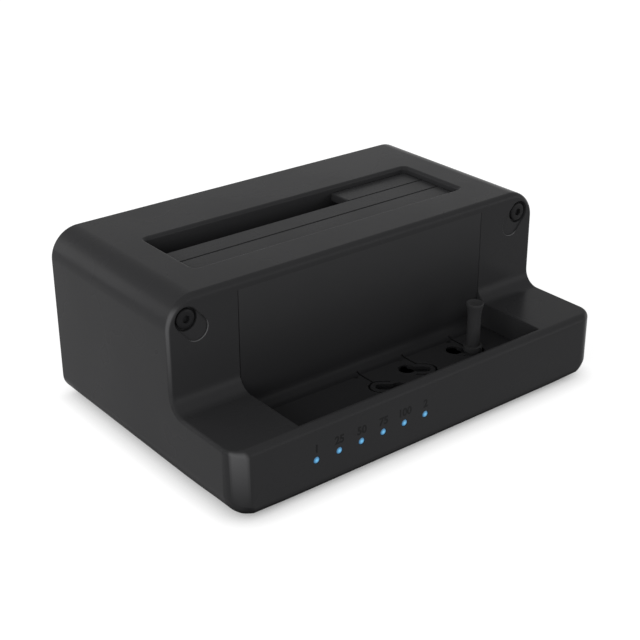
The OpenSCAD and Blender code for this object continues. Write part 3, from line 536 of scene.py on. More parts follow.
@dataclass(frozen=True)
class Finish:
    """A moulded or made surface: two close tones, gloss that varies, and the grain that the tool left.

    Patches are the slow variation of tone and gloss, grain is the fine relief, both in millimetres.
    """

    name: str
    colour: str
    second: str
    roughness: Pair
    patch: float = 25.0
    grain: float = 0.5
    relief: float = 0.02
    metallic: float = 0.0
    ior: float = 1.5
    specular: float = 0.5
    stretch: Point = (1.0, 1.0, 1.0)

    def make(self) -> bpy.types.Material:
        """Builds the material.

        Returns:
            The material, with its nodes.
        """
        material = bpy.data.materials.new(self.name)
        material.use_nodes = True
        tree = material.node_tree
        tree.nodes.clear()
        where = add_node(tree, "ShaderNodeTexCoord").outputs["Object"]
        patches = add_node(tree, "ShaderNodeTexNoise", {
            "Vector": where, "Scale": per_mm(self.patch), "Detail": PATCH_DETAIL
        }).outputs["Fac"]
        gloss = add_node(tree, "ShaderNodeMapRange", {
            "Value": patches, "From Min": PATCH_RANGE[0], "From Max": PATCH_RANGE[1],
            "To Min": self.roughness[0], "To Max": self.roughness[1]
        }, interpolation_type="SMOOTHSTEP").outputs["Result"]
        along = add_node(
            tree, "ShaderNodeMapping", {"Vector": where, "Scale": self.stretch}
        ).outputs["Vector"]
        height = add_node(tree, "ShaderNodeTexNoise", {
            "Vector": along, "Scale": per_mm(self.grain), "Detail": GRAIN_DETAIL
        }).outputs["Fac"]
        bump = add_node(
            tree, "ShaderNodeBump", {"Height": height, "Distance": self.relief * MM, "Strength": 1.0}
        ).outputs["Normal"]
        shader = add_node(tree, "ShaderNodeBsdfPrincipled", {
            "Base Color": self.paint(tree, where, patches), "Roughness": gloss, "Normal": bump,
            "Metallic": self.metallic
        })
        if not self.metallic:
            shader.inputs["IOR"].default_value = self.ior
            shader.inputs["Specular IOR Level"].default_value = self.specular
        self.shine(tree, shader)
        add_node(tree, "ShaderNodeOutputMaterial", {"Surface": shader.outputs["BSDF"]})
        return material

    def paint(self, tree: Tree, where: Socket, patches: Socket) -> Socket:
        """Mixes the two tones over the patches.

        Args:
            tree: the material's tree.
            where: the coordinates.
            patches: the slow noise.

        Returns:
            The colour.
        """
        return add_node(tree, "ShaderNodeMix", {
            FACTOR: patches, FIRST: linear(self.colour), SECOND: linear(self.second)
        }, data_type="RGBA").outputs[MIXED]

    def shine(self, tree: Tree, shader: bpy.types.Node) -> None:
        """Adds what else the surface does with light; a plain surface does nothing."""


@dataclass(frozen=True)
class PaintedLight(Finish):
    """A moulded surface with painted highlights and painted shade, made paler or darker by its attribute."""

    # Tone of the painted highlights; values of the attribute below nothing mix away from it and paint shade.
    highlight_tone: str = "#444445"
    light_and_shade_attribute: str = "painted_light_and_shade"

    def paint(self, tree: Tree, where: Socket, patches: Socket) -> Socket:
        """Mixes the painted highlight tone in, or takes it away as painted shade where the attribute is less
        than nothing.

        Args:
            tree: the material's tree.
            where: the coordinates.
            patches: the slow noise.

        Returns:
            The colour.
        """
        new = super().paint(tree, where, patches)
        painted_light_and_shade = add_node(tree, "ShaderNodeAttribute", attribute_name=self.light_and_shade_attribute).outputs["Fac"]
        return add_node(tree, "ShaderNodeMix", {
            FACTOR: painted_light_and_shade, FIRST: new, SECOND: linear(self.highlight_tone)
        }, data_type="RGBA", clamp_factor=False).outputs[MIXED]


@dataclass(frozen=True)
class Masked(Finish):
    """A circuit board: solder mask over copper tracks, which show as paler lines."""

    track: float = 1.6
    line_share: float = 0.08
    length_share: float = 3.0

    def paint(self, tree: Tree, where: Socket, patches: Socket) -> Socket:
        """Draws the tracks as the joints of a brick pattern, wider than real ones so that they show.

        Args:
            tree: the material's tree.
            where: the coordinates.
            patches: the slow noise.

        Returns:
            The colour.
        """
        return add_node(tree, "ShaderNodeTexBrick", {
            "Vector": where, "Color1": linear(self.colour), "Color2": linear(self.colour),
            "Mortar": linear(self.second), "Scale": per_mm(self.track), "Mortar Size": self.line_share,
            "Brick Width": self.length_share, "Row Height": 1.0
        }).outputs["Color"]


@dataclass(frozen=True)
class Striped(Finish):
    """A ribbon: flat tinned wires side by side under a clear film."""

    pitch: float = 1.0

    def paint(self, tree: Tree, where: Socket, patches: Socket) -> Socket:
        """Draws the wires as stripes along Y.

        Args:
            tree: the material's tree.
            where: the coordinates.
            patches: the slow noise.

        Returns:
            The colour.
        """
        wave = add_node(tree, "ShaderNodeTexWave", {
            "Vector": where, "Scale": per_mm(self.pitch) / (2 * math.pi)
        }, bands_direction="X").outputs["Fac"]
        return super().paint(tree, where, wave)


@dataclass(frozen=True)
class Lit(Finish):
    """A clear lens with light behind it: pale in the middle, deeper towards the rim."""

    core: str = "#ffffff"
    strength: float = 1.0
    spread: str = "glow"

    def shine(self, tree: Tree, shader: bpy.types.Node) -> None:
        """Lights the lens by the piece's own glow attribute, which is one in the middle.

        Args:
            tree: the material's tree.
            shader: the surface shader.
        """
        glow = add_node(tree, "ShaderNodeAttribute", attribute_name=self.spread).outputs["Fac"]
        colour = add_node(tree, "ShaderNodeMix", {
            FACTOR: glow, FIRST: linear(self.second), SECOND: linear(self.core)
        }, data_type="RGBA").outputs[MIXED]
        tree.links.new(colour, shader.inputs["Emission Color"])
        shader.inputs["Emission Strength"].default_value = self.strength


class Finishes:
    """Every finish of the dock, made once."""

    def __init__(self) -> None:
        """Makes the materials."""
        # Black ABS from a fine spark-eroded mould: satin, with a grain of about half a millimetre,
        # with painted highlights on the corners and edges and painted shade along the foot.
        self.shell = PaintedLight(
            "black_abs_moulded", "#303031", "#2d2d2e", (0.25, 0.32), grain=0.55, relief=0.0015, specular=0.032
        ).make()
        # The same ABS in the bay, a tone darker as painted shade for the enclosed bay.
        self.bay = PaintedLight(
            "black_abs_bay_painted_shade", "#2e2e2f", "#2b2b2c", (0.3, 0.38), grain=0.55, relief=0.0015, specular=0.032
        ).make()
        # The same ABS where the mould was polished: smoother, with faint flow lines.
        self.inner = Finish(
            "black_abs_smooth", "#2c2c2d", "#282829", (0.4, 0.5), grain=1.5, relief=0.01, specular=0.1,
            stretch=(1.0, 1.0, 0.2)
        ).make()
        # Black acetal, turned: a little waxy, with fine rings.
        self.acetal = Finish(
            "black_acetal_turned", "#353536", "#303031", (0.42, 0.5), patch=8.0, grain=0.4, relief=0.006,
            specular=0.03, stretch=(0.3, 0.3, 3.0)
        ).make()
        # Black ABS of the keys: satin.
        self.key = Finish(
            "black_abs_satin", "#262627", "#222223", (0.36, 0.44), patch=6.0, grain=0.4, relief=0.008
        ).make()
        # Soft rubber: dull, with a coarse stipple.
        self.rubber = Finish(
            "black_rubber_moulded", "#161616", "#1b1b1b", (0.8, 0.9), patch=4.0, grain=0.8, relief=0.05
        ).make()
        # Zinc-plated steel: bright grey, fine streaks from drawing.
        self.steel = Finish(
            "zinc_plated_steel", "#b9bcc0", "#a3a6ab", (0.25, 0.38), patch=3.0, grain=0.25, relief=0.004,
            metallic=1.0, stretch=(1.0, 1.0, 0.1)
        ).make()
        # Black-oxide steel: nearly black, with an oily satin. The oxide hides the metal under it.
        self.dark_steel = Finish(
            "black_oxide_steel", "#222223", "#1d1d1e", (0.35, 0.45), patch=2.0, grain=0.3, relief=0.006,
            specular=0.05
        ).make()
        # Glass-epoxy board under green solder mask.
        self.board = Masked(
            "green_solder_mask", "#1f4d33", "#2d6a48", (0.3, 0.4), patch=6.0, grain=0.6, relief=0.01
        ).make()
        # Glass-filled connector plastic: black, flecked by the fibres.
        self.connector = Finish(
            "black_glass_filled_nylon", "#1d1e20", "#26272a", (0.45, 0.6), patch=1.2, grain=0.35, relief=0.01
        ).make()
        # Gold over nickel: warm, slightly uneven.
        self.gold = Finish(
            "gold_plated_bronze", "#d8b15c", "#c49a45", (0.2, 0.32), patch=1.5, grain=0.3, relief=0.003,
            metallic=1.0
        ).make()
        # Drawn aluminium can: pale, with upright drawing lines.
        self.can = Finish(
            "drawn_aluminium", "#c9ccd0", "#b4b8bd", (0.3, 0.42), patch=2.0, grain=0.3, relief=0.005,
            metallic=1.0, stretch=(1.0, 1.0, 0.05)
        ).make()
        # Polyester film over tinned copper: clear, with the wires as grey stripes.
        self.ribbon = Striped(
            "polyester_ribbon", "#e6e4dc", "#a9acb0", (0.3, 0.4), patch=4.0, relief=0.004
        ).make()
        # Lamp body of milky resin: pale and smooth.
        self.lamp = Finish(
            "milky_resin", "#d5eaf2", "#c3e0ec", (0.3, 0.45), patch=1.0, grain=0.3, relief=0.005
        ).make()
        # Acrylic lens with the blue lamp behind it: bright in the middle, glossy.
        self.lens = Lit(
            "lit_acrylic", "#0a1a26", "#22597e", (0.15, 0.22), patch=1.0, grain=0.4, relief=0.004,
            core="#62b6e2", strength=1.0
        ).make()
        # Pad-printed ink, darker than the plastic and slightly uneven.
        self.ink = Finish(
            "black_pad_ink", "#070708", "#0c0c0d", (0.45, 0.6), patch=0.8, grain=0.3, relief=0.004,
            specular=0.1
        ).make()
        # The same ink in off-white, for the power switch.
        self.pale_ink = Finish(
            "white_pad_ink", "#d4d4d0", "#c6c6c2", (0.45, 0.6), patch=0.8, grain=0.3, relief=0.004
        ).make()


@dataclass
class Housing:
    """Outer moulding: the tall block, the low deck, the slot, the bay's opening and the rear window."""

    half_w: float = 70.0
    front: float = PLAN.front
    rear: float = PLAN.rear
    step: float = PLAN.step
    bottom: float = PLAN.bottom
    deck: float = 21.9
    top: float = 55.3
    wall: float = 2.4
    top_wall: float = 2.6
    # Roundings of the form. A heel's pairs are a reach from the front corner and the radius up to it.
    hollow_r: float = 5.0
    hollow_facets: int = 14
    top_r: float = 9.5
    top_facets: int = 18
    least_top_r: float = 1.0
    base_r: float = 3.4
    base_facets: int = 16
    least_base_r: float = 0.4
    corner_r: float = 6.2
    toe_r: float = 1.5
    side_heel: Profile = ((11.0, 9.5), (15.0, 7.4), (20.0, 5.5), (27.0, 4.2))
    front_heel: Profile = ((9.6, 5.0), (12.5, 3.4), (16.0, 2.3), (20.0, 1.8))
    crown_r: float = 2.0
    lip_r: float = 2.5
    side_r: float = 1.1
    rear_r: float = 1.0
    edge_facets: int = 6
    # Slot for the drive, and bay for the card.
    slot_half: float = 51.2
    slot_y: Pair = (-2.9, 24.2)
    slot_rim_r: float = 1.2
    slot_corner_r: float = 1.4
    slot_facets: int = 6
    rim_facets: int = 5
    bay_half: float = 46.8
    bay_front: float = -44.5
    bay_floor: float = PLAN.bay_floor
    bay_under: float = 12.2
    bay_rim_r: float = 0.35
    seam_r: float = 0.15
    skirt: float = 2.0
    window_top: float = 52.3
    card_y: Pair = (-41.8, -19.2)
    card_top: float = 17.9
    # Rear window, shoulder screws and lights.
    rear_half: float = 49.5
    rear_z: Pair = (7.5, 28.0)
    rear_corner_r: float = 1.0
    rear_facets: int = 4
    rear_rim_r: float = 0.5
    shoulder: Pair = PLAN.shoulder
    recess_r: float = 3.7
    recess_len: float = 4.7
    recess_heading: float = -131.0
    recess_depth: float = 0.5
    recess_rim_r: float = 0.18
    recess_sides: int = 64
    bore_depth: float = 1.2
    bore_sides: int = 32
    head_r: float = 3.6
    shank_r: float = 1.4
    light_r: float = 1.1
    # Underside: the recess of the base cover, the ledge round it and the screw bosses.
    cover_half: Pair = (64.6, 43.5)
    cover_gap: float = 0.1
    cover_corner_r: float = 4.0
    cover_facets: int = 6
    cover_top: float = 3.2
    ledge_top: float = 3.0
    ledge_w: float = 3.1
    opening_rise: float = 3.0
    boss_at: Pair = (60.5, 39.4)
    boss_r: float = 2.8
    boss_top: float = 8.3
    # Painted highlights and painted shade: how strongly, and over which turns in degrees, slopes and heights.
    foot_shade_slope: Pair = (0.05, 0.6)
    corner_highlight: float = 1.4
    corner_turns: Tuple[Pair, Pair] = ((6, 15), (68, 57))
    corner_shade: float = 0.55
    shade_turns: Tuple[Pair, Pair] = ((62, 70), (88, 78))
    corner_fade: float = 4.0
    lip_highlight: float = 2.0
    lip_turns: Tuple[Pair, Pair] = ((10, 20), (68, 57))
    lip_slope: Pair = (0.97, 0.6)
    recess_highlight: float = 3.0
    edge_highlight: Pair = (0.3, 1.7)
    edge_turns: Tuple[Pair, Pair] = ((10, 30), (85, 65))
    edge_share: float = 0.8
    edge_rise: float = 2.0
    edge_fall: Pair = (7.5, 5.0)

    def block(self, name: str, side: float = 0.0, top: float = 0.0, bottom: float = 0.0) -> Piece:
        """Models the L-shaped body, drawn in by wall thicknesses.

        Args:
            name: the piece's name.
            side: inset of the upright walls and the deck.
            top: inset of the top.
            bottom: inset of the underside.

        Returns:
            The solid, with its large radii.
        """
        half, front, rear = self.half_w - side, self.front + side, self.rear - side
        step, deck, low, high = self.step + side, self.deck - side, self.bottom + bottom, self.top - top
        piece = Bench.box(name, (-half, front, low), (half, rear, deck))
        with Bench.editing(piece, "FACE"):
            Bench.split((0, step, 0), (0, 1, 0))
            Bench.pick_faces(piece, lambda c, n: n.z > ALIGNED and c.y > step)
            bpy.ops.mesh.extrude_region_move(TRANSFORM_OT_translate={"value": (0, 0, high - deck)})
        Bench.flatten(piece)
        Bench.bevel(
            piece, lambda m, d: abs(d.x) > ALIGNED and abs(m.y - step) < TINY and abs(m.z - deck) < TINY,
            self.hollow_r + side, self.hollow_facets
        )
        Bench.bevel(
            piece, lambda m, d: abs(d.y) > ALIGNED and abs(m.z - high) < TINY,
            max(self.top_r - top, self.least_top_r), self.top_facets
        )
        with Bench.editing(piece, "FACE"):
            for reach, _ in self.side_heel:
                Bench.split((0, front + reach, 0), (0, 1, 0))
            for reach, _ in self.front_heel:
                for x in (-1, 1):
                    Bench.split((x * (half - reach), 0, 0), (1, 0, 0))

        def lower_radius(middle: Vector, along: Vector, angle: float) -> float:
            """Radius of the front corners, and of the lower edges, which grows towards these corners.

            Args:
                middle: the edge's middle.
                along: its direction.
                angle: its convex angle in degrees.

            Returns:
                The radius, or nothing for an edge that stays.
            """
            if angle < FORM_EDGE:
                return 0.0
            if abs(along.z) > ALIGNED and abs(middle.y - front) < TINY:
                return max(self.corner_r - side, self.least_base_r)
            if middle.z > low + TINY or (abs(along.x) > ALIGNED and middle.y > 0):
                return 0.0
            plain, heel, away = self.toe_r, self.front_heel, half - abs(middle.x)
            if abs(along.y) > ALIGNED:
                plain, heel, away = self.base_r, self.side_heel, middle.y - front
            radius = next((r for reach, r in heel if away < reach), plain)
            return max(radius - max(side, bottom), self.least_base_r)

        Bench.ease(piece, lower_radius, self.side_heel[0][1], self.base_facets)
        Bench.flatten(piece)
        return piece

    def edge_radius(self, middle: Vector, along: Vector, angle: float) -> float:
        """Radius of the edge loop round the block's front and the deck, and of the loop round the rear.

        Args:
            middle: the edge's middle.
            along: its direction.
            angle: its convex angle in degrees.

        Returns:
            The radius, or nothing for an edge that stays.
        """
        if angle < FORM_EDGE:
            return 0.0
        if middle.y > self.rear - TINY:
            return self.rear_r
        if abs(middle.y - self.front) < self.corner_r:
            share = min(1.0, (self.half_w - abs(middle.x)) / self.corner_r)
            return self.side_r + (self.lip_r - self.side_r) * share
        rise = max(0.0, (middle.z - (self.top - self.top_r)) / self.top_r)
        return self.side_r + (self.crown_r - self.side_r) * rise ** 2

    def hollow(self) -> Piece:
        """Models the space inside, less the bay's walls and the screw bosses.

        Returns:
            The solid to cut away.
        """
        space = self.block("space", self.wall, self.top_wall, self.ledge_top)
        opening = self.cover_space(-self.ledge_w, self.cover_top, self.cover_top + self.opening_rise)
        Bench.cut(space, opening, Cut.TOGETHER)
        Bench.cut(space, Bench.box(
            "bay_walls", (-self.bay_half - self.skirt, self.front, self.bay_floor),
            (self.bay_half + self.skirt, self.step + self.wall, self.deck + self.hollow_r)
        ))
        for x in (-self.boss_at[0], self.boss_at[0]):
            for y in (-self.boss_at[1], self.boss_at[1]):
                Bench.cut(space, Bench.bar(
                    "boss", (x, y, self.cover_top - PAST), Facing.UP,
                    self.boss_top - self.cover_top + PAST, self.boss_r, self.bore_sides
                ))
        return space

    def cover_space(self, more: float, low: float, high: float) -> Piece:
        """Models an upright solid on the outline of the base cover.

        Args:
            more: how far it reaches past the outline.
            low: its lower end.
            high: its upper end.

        Returns:
            The solid.
        """
        half, depth = (h + more for h in self.cover_half)
        space = Bench.box("cover_space", (-half, -depth, low), (half, depth, high))
        Bench.bevel(space, lambda m, d: abs(d.z) > ALIGNED, self.cover_corner_r, self.cover_facets)
        return space

    def openings(self) -> List[Piece]:
        """Models the solids that open the slot, the bay, the windows and the bores.

        Returns:
            The solids to cut away, which don't touch each other.
        """
        slot = Bench.box(
            "slot", (-self.slot_half, self.slot_y[0], self.top - self.top_wall - PAST),
            (self.slot_half, self.slot_y[1], self.top + PAST)
        )
        Bench.bevel(slot, lambda m, d: abs(d.z) > ALIGNED, self.slot_corner_r, self.slot_facets)
        bay = Bench.box(
            "bay", (-self.bay_half, self.bay_front, self.bay_under - PAST),
            (self.bay_half, self.step + self.wall + PAST, self.deck + self.hollow_r + PAST)
        )
        Bench.cut(bay, Bench.box(
            "window", (-self.bay_half, self.step - PAST, self.bay_floor),
            (self.bay_half, self.step + self.wall + PAST, self.window_top)
        ), Cut.TOGETHER)
        Bench.cut(bay, Bench.box(
            "card_window", (-self.bay_half - self.skirt - PAST, self.card_y[0], self.bay_floor - PAST),
            (-self.bay_half + PAST, self.card_y[1], self.card_top)
        ), Cut.TOGETHER)
        rear = Bench.box(
            "rear_window", (-self.rear_half, self.rear - self.wall - PAST, self.rear_z[0]),
            (self.rear_half, self.rear + PAST, self.rear_z[1])
        )
        Bench.bevel(rear, lambda m, d: abs(d.y) > ALIGNED, self.rear_corner_r, self.rear_facets)
        tools = [slot, bay, rear, self.cover_space(self.cover_gap, 0.0, self.cover_top)]
        tools += [self.shoulder_tool(side) for side in (-1, 1)]
        for i in range(PLAN.light_count):
            at = (PLAN.light_first + i * PLAN.light_pitch, self.front - PAST, PLAN.light_z)
            tools.append(Bench.bar(
                "light_bore", at, Facing.REAR, self.wall + 2 * PAST, self.light_r, self.bore_sides
            ))
        return tools

    def recess_reach(self) -> Vector:
        """Way from the right shoulder screw to the far end of its recess."""
        heading = math.radians(self.recess_heading)
        return Vector((math.cos(heading), 0, math.sin(heading))) * self.recess_len

    def shoulder_tool(self, side: int) -> Piece:
        """Models the shallow recess and the bore of one shoulder screw.

        Args:
            side: minus one on the left, one on the right.

        Returns:
            The solid to cut away.
        """
        x, z = self.shoulder
        reach = self.recess_reach()
        start, floor = self.step - PAST, self.step + self.recess_depth
        tool = Bench.box("recess", (-self.recess_r, start, 0.0), (self.recess_r, floor, self.recess_len))
        turn = math.pi / 2 - math.radians(self.recess_heading)
        Bench.fix(tool, rotation_euler=(0, turn, 0), location=(x, 0, z))
        for at, radius, end in (
            ((x, z), self.recess_r, floor),
            ((x + reach.x, z + reach.z), self.recess_r, floor),
            ((x, z), self.head_r, floor + self.bore_depth),
            ((x, z), self.shank_r, self.step + self.wall + PAST),
        ):
            Bench.cut(tool, Bench.bar(
                "bore", (at[0], start, at[1]), Facing.REAR, end - start, radius, self.recess_sides
            ), Cut.TOGETHER)
        if side < 0:
            Bench.fix(tool, scale=(-1, 1, 1))
            with Bench.editing(tool, "FACE"):
                Bench.face_out()
        return tool

    def rim_radius(self, middle: Vector, along: Vector, angle: float) -> float:
        """Radius of the edges round the openings.

        Args:
            middle: the edge's middle.
            along: its direction.
            angle: its convex angle in degrees.

        Returns:
            The radius, or nothing for an edge that stays.
        """
        if angle < RIM_EDGE:
            return 0.0
        if middle.z > self.top - TINY:
            return self.slot_rim_r
        if middle.y > self.rear - TINY:
            return self.rear_rim_r
        at_bay = abs(abs(middle.x) - self.bay_half) < TINY or abs(middle.y - self.bay_front) < TINY
        if at_bay and middle.y < self.step + TINY and middle.z > self.bay_floor + TINY:
            if middle.y > self.step - TINY:
                return self.seam_r
            on_deck = abs(middle.z - self.deck) < TINY or middle.y > self.step - self.hollow_r - TINY
            return self.bay_rim_r if on_deck else 0.0
        if abs(middle.y - self.step) < TINY and abs(middle.x) > self.bay_half + self.skirt:
            return self.recess_rim_r
        return 0.0

    def painted_light_and_shade(self, place: Vector, normal: Vector) -> float:
        """Tells how much painted highlight or painted shade a spot gets.

        Args:
            place: the spot.
            normal: the way that it faces.

        Returns:
            Nothing where no light or shade is painted, one for a full painted highlight, and less than
            nothing along the foot, where shade is painted.
        """
        at_foot = place.z < self.bottom + self.corner_r and place.y < self.rear - self.corner_r
        if at_foot and normal.z < -self.foot_shade_slope[0]:
            return -ramp(-normal.z, *self.foot_shade_slope)
        if place.y < self.front + self.corner_r and abs(place.x) > self.half_w - self.corner_r:
            return self.corner_painted_light(place, normal)
        return self.recess_painted_highlight(place) or self.shoulder_painted_highlight(place, normal)

    def corner_painted_light(self, place: Vector, normal: Vector) -> float:
        """Tells how much painted highlight or painted shade a spot of the front corners gets.

        Args:
            place: the spot.
            normal: the way that it faces.

        Returns:
            More than nothing on the corner's strip and lip, less than nothing beside the strip.
        """
        turn = math.degrees(math.atan2(abs(normal.x), -normal.y))
        if place.z > self.deck - self.lip_r:
            return self.lip_highlight * window(turn, *self.lip_turns) * ramp(normal.z, *self.lip_slope)
        strip = self.corner_highlight * window(turn, *self.corner_turns)
        beside = self.corner_shade * window(turn, *self.shade_turns)
        foot = self.bottom + self.corner_r
        return (strip - beside) * ramp(place.z, foot - self.corner_fade, foot)

    def recess_painted_highlight(self, place: Vector) -> float:
        """Tells how much painted highlight a spot on the rim at the far end of a shoulder recess gets.

        Args:
            place: the spot.

        Returns:
            The share of the highlight tone.
        """
        if place.z <= self.deck or not self.step + TINY / 2 < place.y < self.step + self.recess_depth / 2:
            return 0.0
        reach = self.recess_reach()
        x, z = abs(place.x) - self.shoulder[0] - reach.x, place.z - self.shoulder[1] - reach.z
        if math.hypot(x, z) >= self.recess_r + 2 * self.recess_rim_r:
            return 0.0
        outwards = (x * reach.x + z * reach.z) / self.recess_len
        return self.recess_highlight * ramp(outwards, 0.0, self.recess_r / 2)

    def shoulder_painted_highlight(self, place: Vector, normal: Vector) -> float:
        """Tells how much painted highlight a spot on the edge round the block's front gets.

        Args:
            place: the spot.
            normal: the way that it faces.

        Returns:
            The share of the highlight tone, most at the shoulders.
        """
        high = self.top - self.top_r
        reach, rise = abs(place.x) - (self.half_w - self.top_r), place.z - high
        outside = math.hypot(max(reach, 0.0), max(rise, 0.0)) > self.top_r - self.edge_share * self.crown_r
        at_front = self.step - TINY < place.y < self.step + self.crown_r
        if not outside or not at_front or place.z <= self.deck:
            return 0.0
        turn = math.degrees(math.atan2(math.hypot(normal.x, normal.z), -normal.y))
        strength = self.edge_highlight[0] + self.edge_highlight[1] * ramp(rise, -self.edge_rise, 0.0)
        return strength * window(turn, *self.edge_turns) * ramp(rise, *self.edge_fall)

    def dress(self, finishes: Finishes) -> None:
        """Builds the moulding in black ABS.

        Args:
            finishes: the materials.
        """
        piece = self.block("housing_moulding")
        Bench.ease(piece, self.edge_radius, self.lip_r, self.edge_facets)
        Bench.cut(piece, self.hollow())
        for tool in self.openings():
            Bench.cut(piece, tool)
        Bench.ease(piece, self.rim_radius, self.slot_rim_r, self.rim_facets)
        # Paints highlights on the corners, lip, recess rims and shoulder edges, and shade along the foot,
        # into an attribute that the finish reads.
        Bench.note(piece, "painted_light_and_shade", self.painted_light_and_shade)
        Bench.settle(piece, Body.DOCK, Slot.SHELL, finishes.shell, ["upper_housing"])


@dataclass
class BayPanel:
    """Upright panel and floor of the card bay, with softened keyholes and the card lengths printed."""

    floor: float = PLAN.bay_floor
    face: float = PLAN.step
    set_back: float = 0.02
    groove_z: Pair = (13.0, 13.45)
    groove_more: float = 0.6
    rim_r: float = 0.12
    rim_facets: int = 2
    leader_x: Tuple[float, ...] = (-5.5, 12.5, 32.5)
    lengths: Tuple[str, ...] = ("42", "60", "80")
    sign_at: Pair = (-2.0, -21.2)
    sign_height: float = 1.5
    # Painted light and shade in the bay: the floor a touch darker, the panel paler, and painted shade where
    # the panel turns into the floor.
    floor_slope: float = 0.97
    floor_shade: float = -0.03
    panel_painted_light: float = 0.25
    foot_shade: float = 0.55
    foot_z: Pair = (31.0, 17.0)

    def painted_light_and_shade(self, place: Vector, normal: Vector) -> float:
        """Tells how much painted light or painted shade a spot gets: most shade where the panel turns into
        the floor.

        Args:
            place: the spot.
            normal: the way that it faces.

        Returns:
            The share of the highlight tone, less than nothing where shade is painted.
        """
        if normal.z > self.floor_slope:
            return self.floor_shade
        return self.panel_painted_light - self.foot_shade * ramp(place.z, *self.foot_z)

    def dress(self, finishes: Finishes) -> None:
        """Deepens and softens a copy of the solid, and prints the numbers.

        Args:
            finishes: the materials.
        """
        panel = Bench.copied("bay_moulding", "bay_panel")
        with Bench.editing(panel, "FACE"):
            Bench.pick_faces(
                panel, lambda c, n: n.z > ALIGNED and self.groove_z[0] < c.z < self.groove_z[1]
            )
            bpy.ops.transform.translate(value=(0, 0, -self.groove_more))
            Bench.pick_faces(panel, lambda c, n: n.y < -EXACT and abs(c.y - self.face) < TINY / 4)
            bpy.ops.transform.translate(value=(0, self.set_back, 0))
        Bench.ease(
            panel, lambda m, d, a: self.rim_r if a > RIM_EDGE and abs(m.z - self.floor) < TINY else 0.0,
            self.rim_r, self.rim_facets
        )
        # Paints the bay's light and shade into an attribute that the finish reads.
        Bench.note(panel, "painted_light_and_shade", self.painted_light_and_shade)
        Bench.settle(panel, Body.DOCK, Slot.SHELL, finishes.bay, ["bay_panel"])
        # The groove floors take the dark ink: painted shade at the bottoms of the grooves.
        panel.data.materials.append(finishes.ink)
        for face in panel.data.polygons:
            depth = self.floor - face.center.z / MM
            if face.normal.z > ALIGNED and depth > self.groove_more:
                face.material_index = 1
        signs = [
            (words, (x + self.sign_at[0], self.sign_at[1], self.floor), (0, 0, math.pi / 2))
            for x, words in zip(self.leader_x, self.lengths)
        ]
        Bench.settle(
            Bench.printed("card_numbers", signs, self.sign_height), Body.DOCK, Slot.SHELL, finishes.ink
        )


@dataclass
class Flap:
    """Sprung flap: a plate with a raised face, a notch, two grooves and three knuckles."""

    half: float = 52.2
    plate_y: Pair = (-3.55, 23.7)
    plate_z: Pair = (50.75, 52.45)
    face_half: float = 50.7
    face_front: float = -2.4
    face_top: float = 53.3
    notch: Pair = (19.2, 14.6)
    groove_y: Pair = (6.7, 14.6)
    groove: Pair = (0.6, 0.22)
    hinge: Pair = (-5.45, 50.75)
    knuckle_x: Tuple[float, ...] = (-40.0, 0.0, 40.0)
    knuckle_len: float = 12.0
    knuckle_r: float = 1.6
    knuckle_sides: int = 40
    bore_r: float = 0.95
    bore_sides: int = 32
    web: Pair = (-2.55, 52.35)
    edge_r: float = 0.45
    edge_facets: int = 4

    def build(self) -> Piece:
        """Models the flap closed.

        Returns:
            The flap, in millimetres.
        """
        (front, rear), (low, high) = self.plate_y, self.plate_z
        piece = Bench.box("flap_moulding", (-self.half, front, low), (self.half, rear, high))
        Bench.cut(piece, Bench.box(
            "face", (-self.face_half, self.face_front, low), (self.face_half, rear, self.face_top)
        ), Cut.TOGETHER)
        Bench.cut(piece, Bench.box(
            "notch", (-self.half - PAST, self.notch[1], low - PAST),
            (self.notch[0], rear + PAST, self.face_top + PAST)
        ))
        width, depth = self.groove
        for y, start in zip(self.groove_y, (-self.half, self.notch[0] - PAST)):
            Bench.cut(piece, Bench.box(
                "groove", (start, y, self.face_top - depth), (self.half, y + width, self.face_top + PAST)
            ))
        for x in self.knuckle_x:
            start, end = x - self.knuckle_len / 2, x + self.knuckle_len / 2
            Bench.cut(piece, Bench.bar(
                "knuckle", (start, *self.hinge), Facing.RIGHT, self.knuckle_len, self.knuckle_r,
                self.knuckle_sides
            ), Cut.TOGETHER)
            Bench.cut(piece, Bench.box("web", (start, *self.hinge), (end, *self.web)), Cut.TOGETHER)
            Bench.cut(piece, Bench.bar(
                "bore", (start - PAST, *self.hinge), Facing.RIGHT, self.knuckle_len + 2 * PAST, self.bore_r,
                self.bore_sides
            ))
        return piece

    def edge_radius(self, middle: Vector, along: Vector, angle: float) -> float:
        """Radius of the face's edges and of the notch's corner; the grooves stay crisp.

        Args:
            middle: the edge's middle.
            along: its direction.
            angle: its convex angle in degrees.

        Returns:
            The radius, or nothing for an edge that stays.
        """
        width = self.groove[0]
        across = abs(along.x) < ALIGNED and any(0 < middle.y - y < width for y in self.groove_y)
        if angle < RIM_EDGE or across or middle.z <= self.face_top - TINY:
            return 0.0
        in_groove = any(-TINY < middle.y - y < width + TINY for y in self.groove_y)
        return self.edge_r / 4 if in_groove and middle.x > -self.face_half else self.edge_r

    def dress(self, finishes: Finishes) -> None:
        """Builds the flap in the housing's plastic.

        Args:
            finishes: the materials.
        """
        piece = self.build()
        Bench.ease(piece, self.edge_radius, self.edge_r, self.edge_facets)
        Bench.settle(piece, Body.FLAP, Slot.SHELL, finishes.shell, ["drive_flap"])


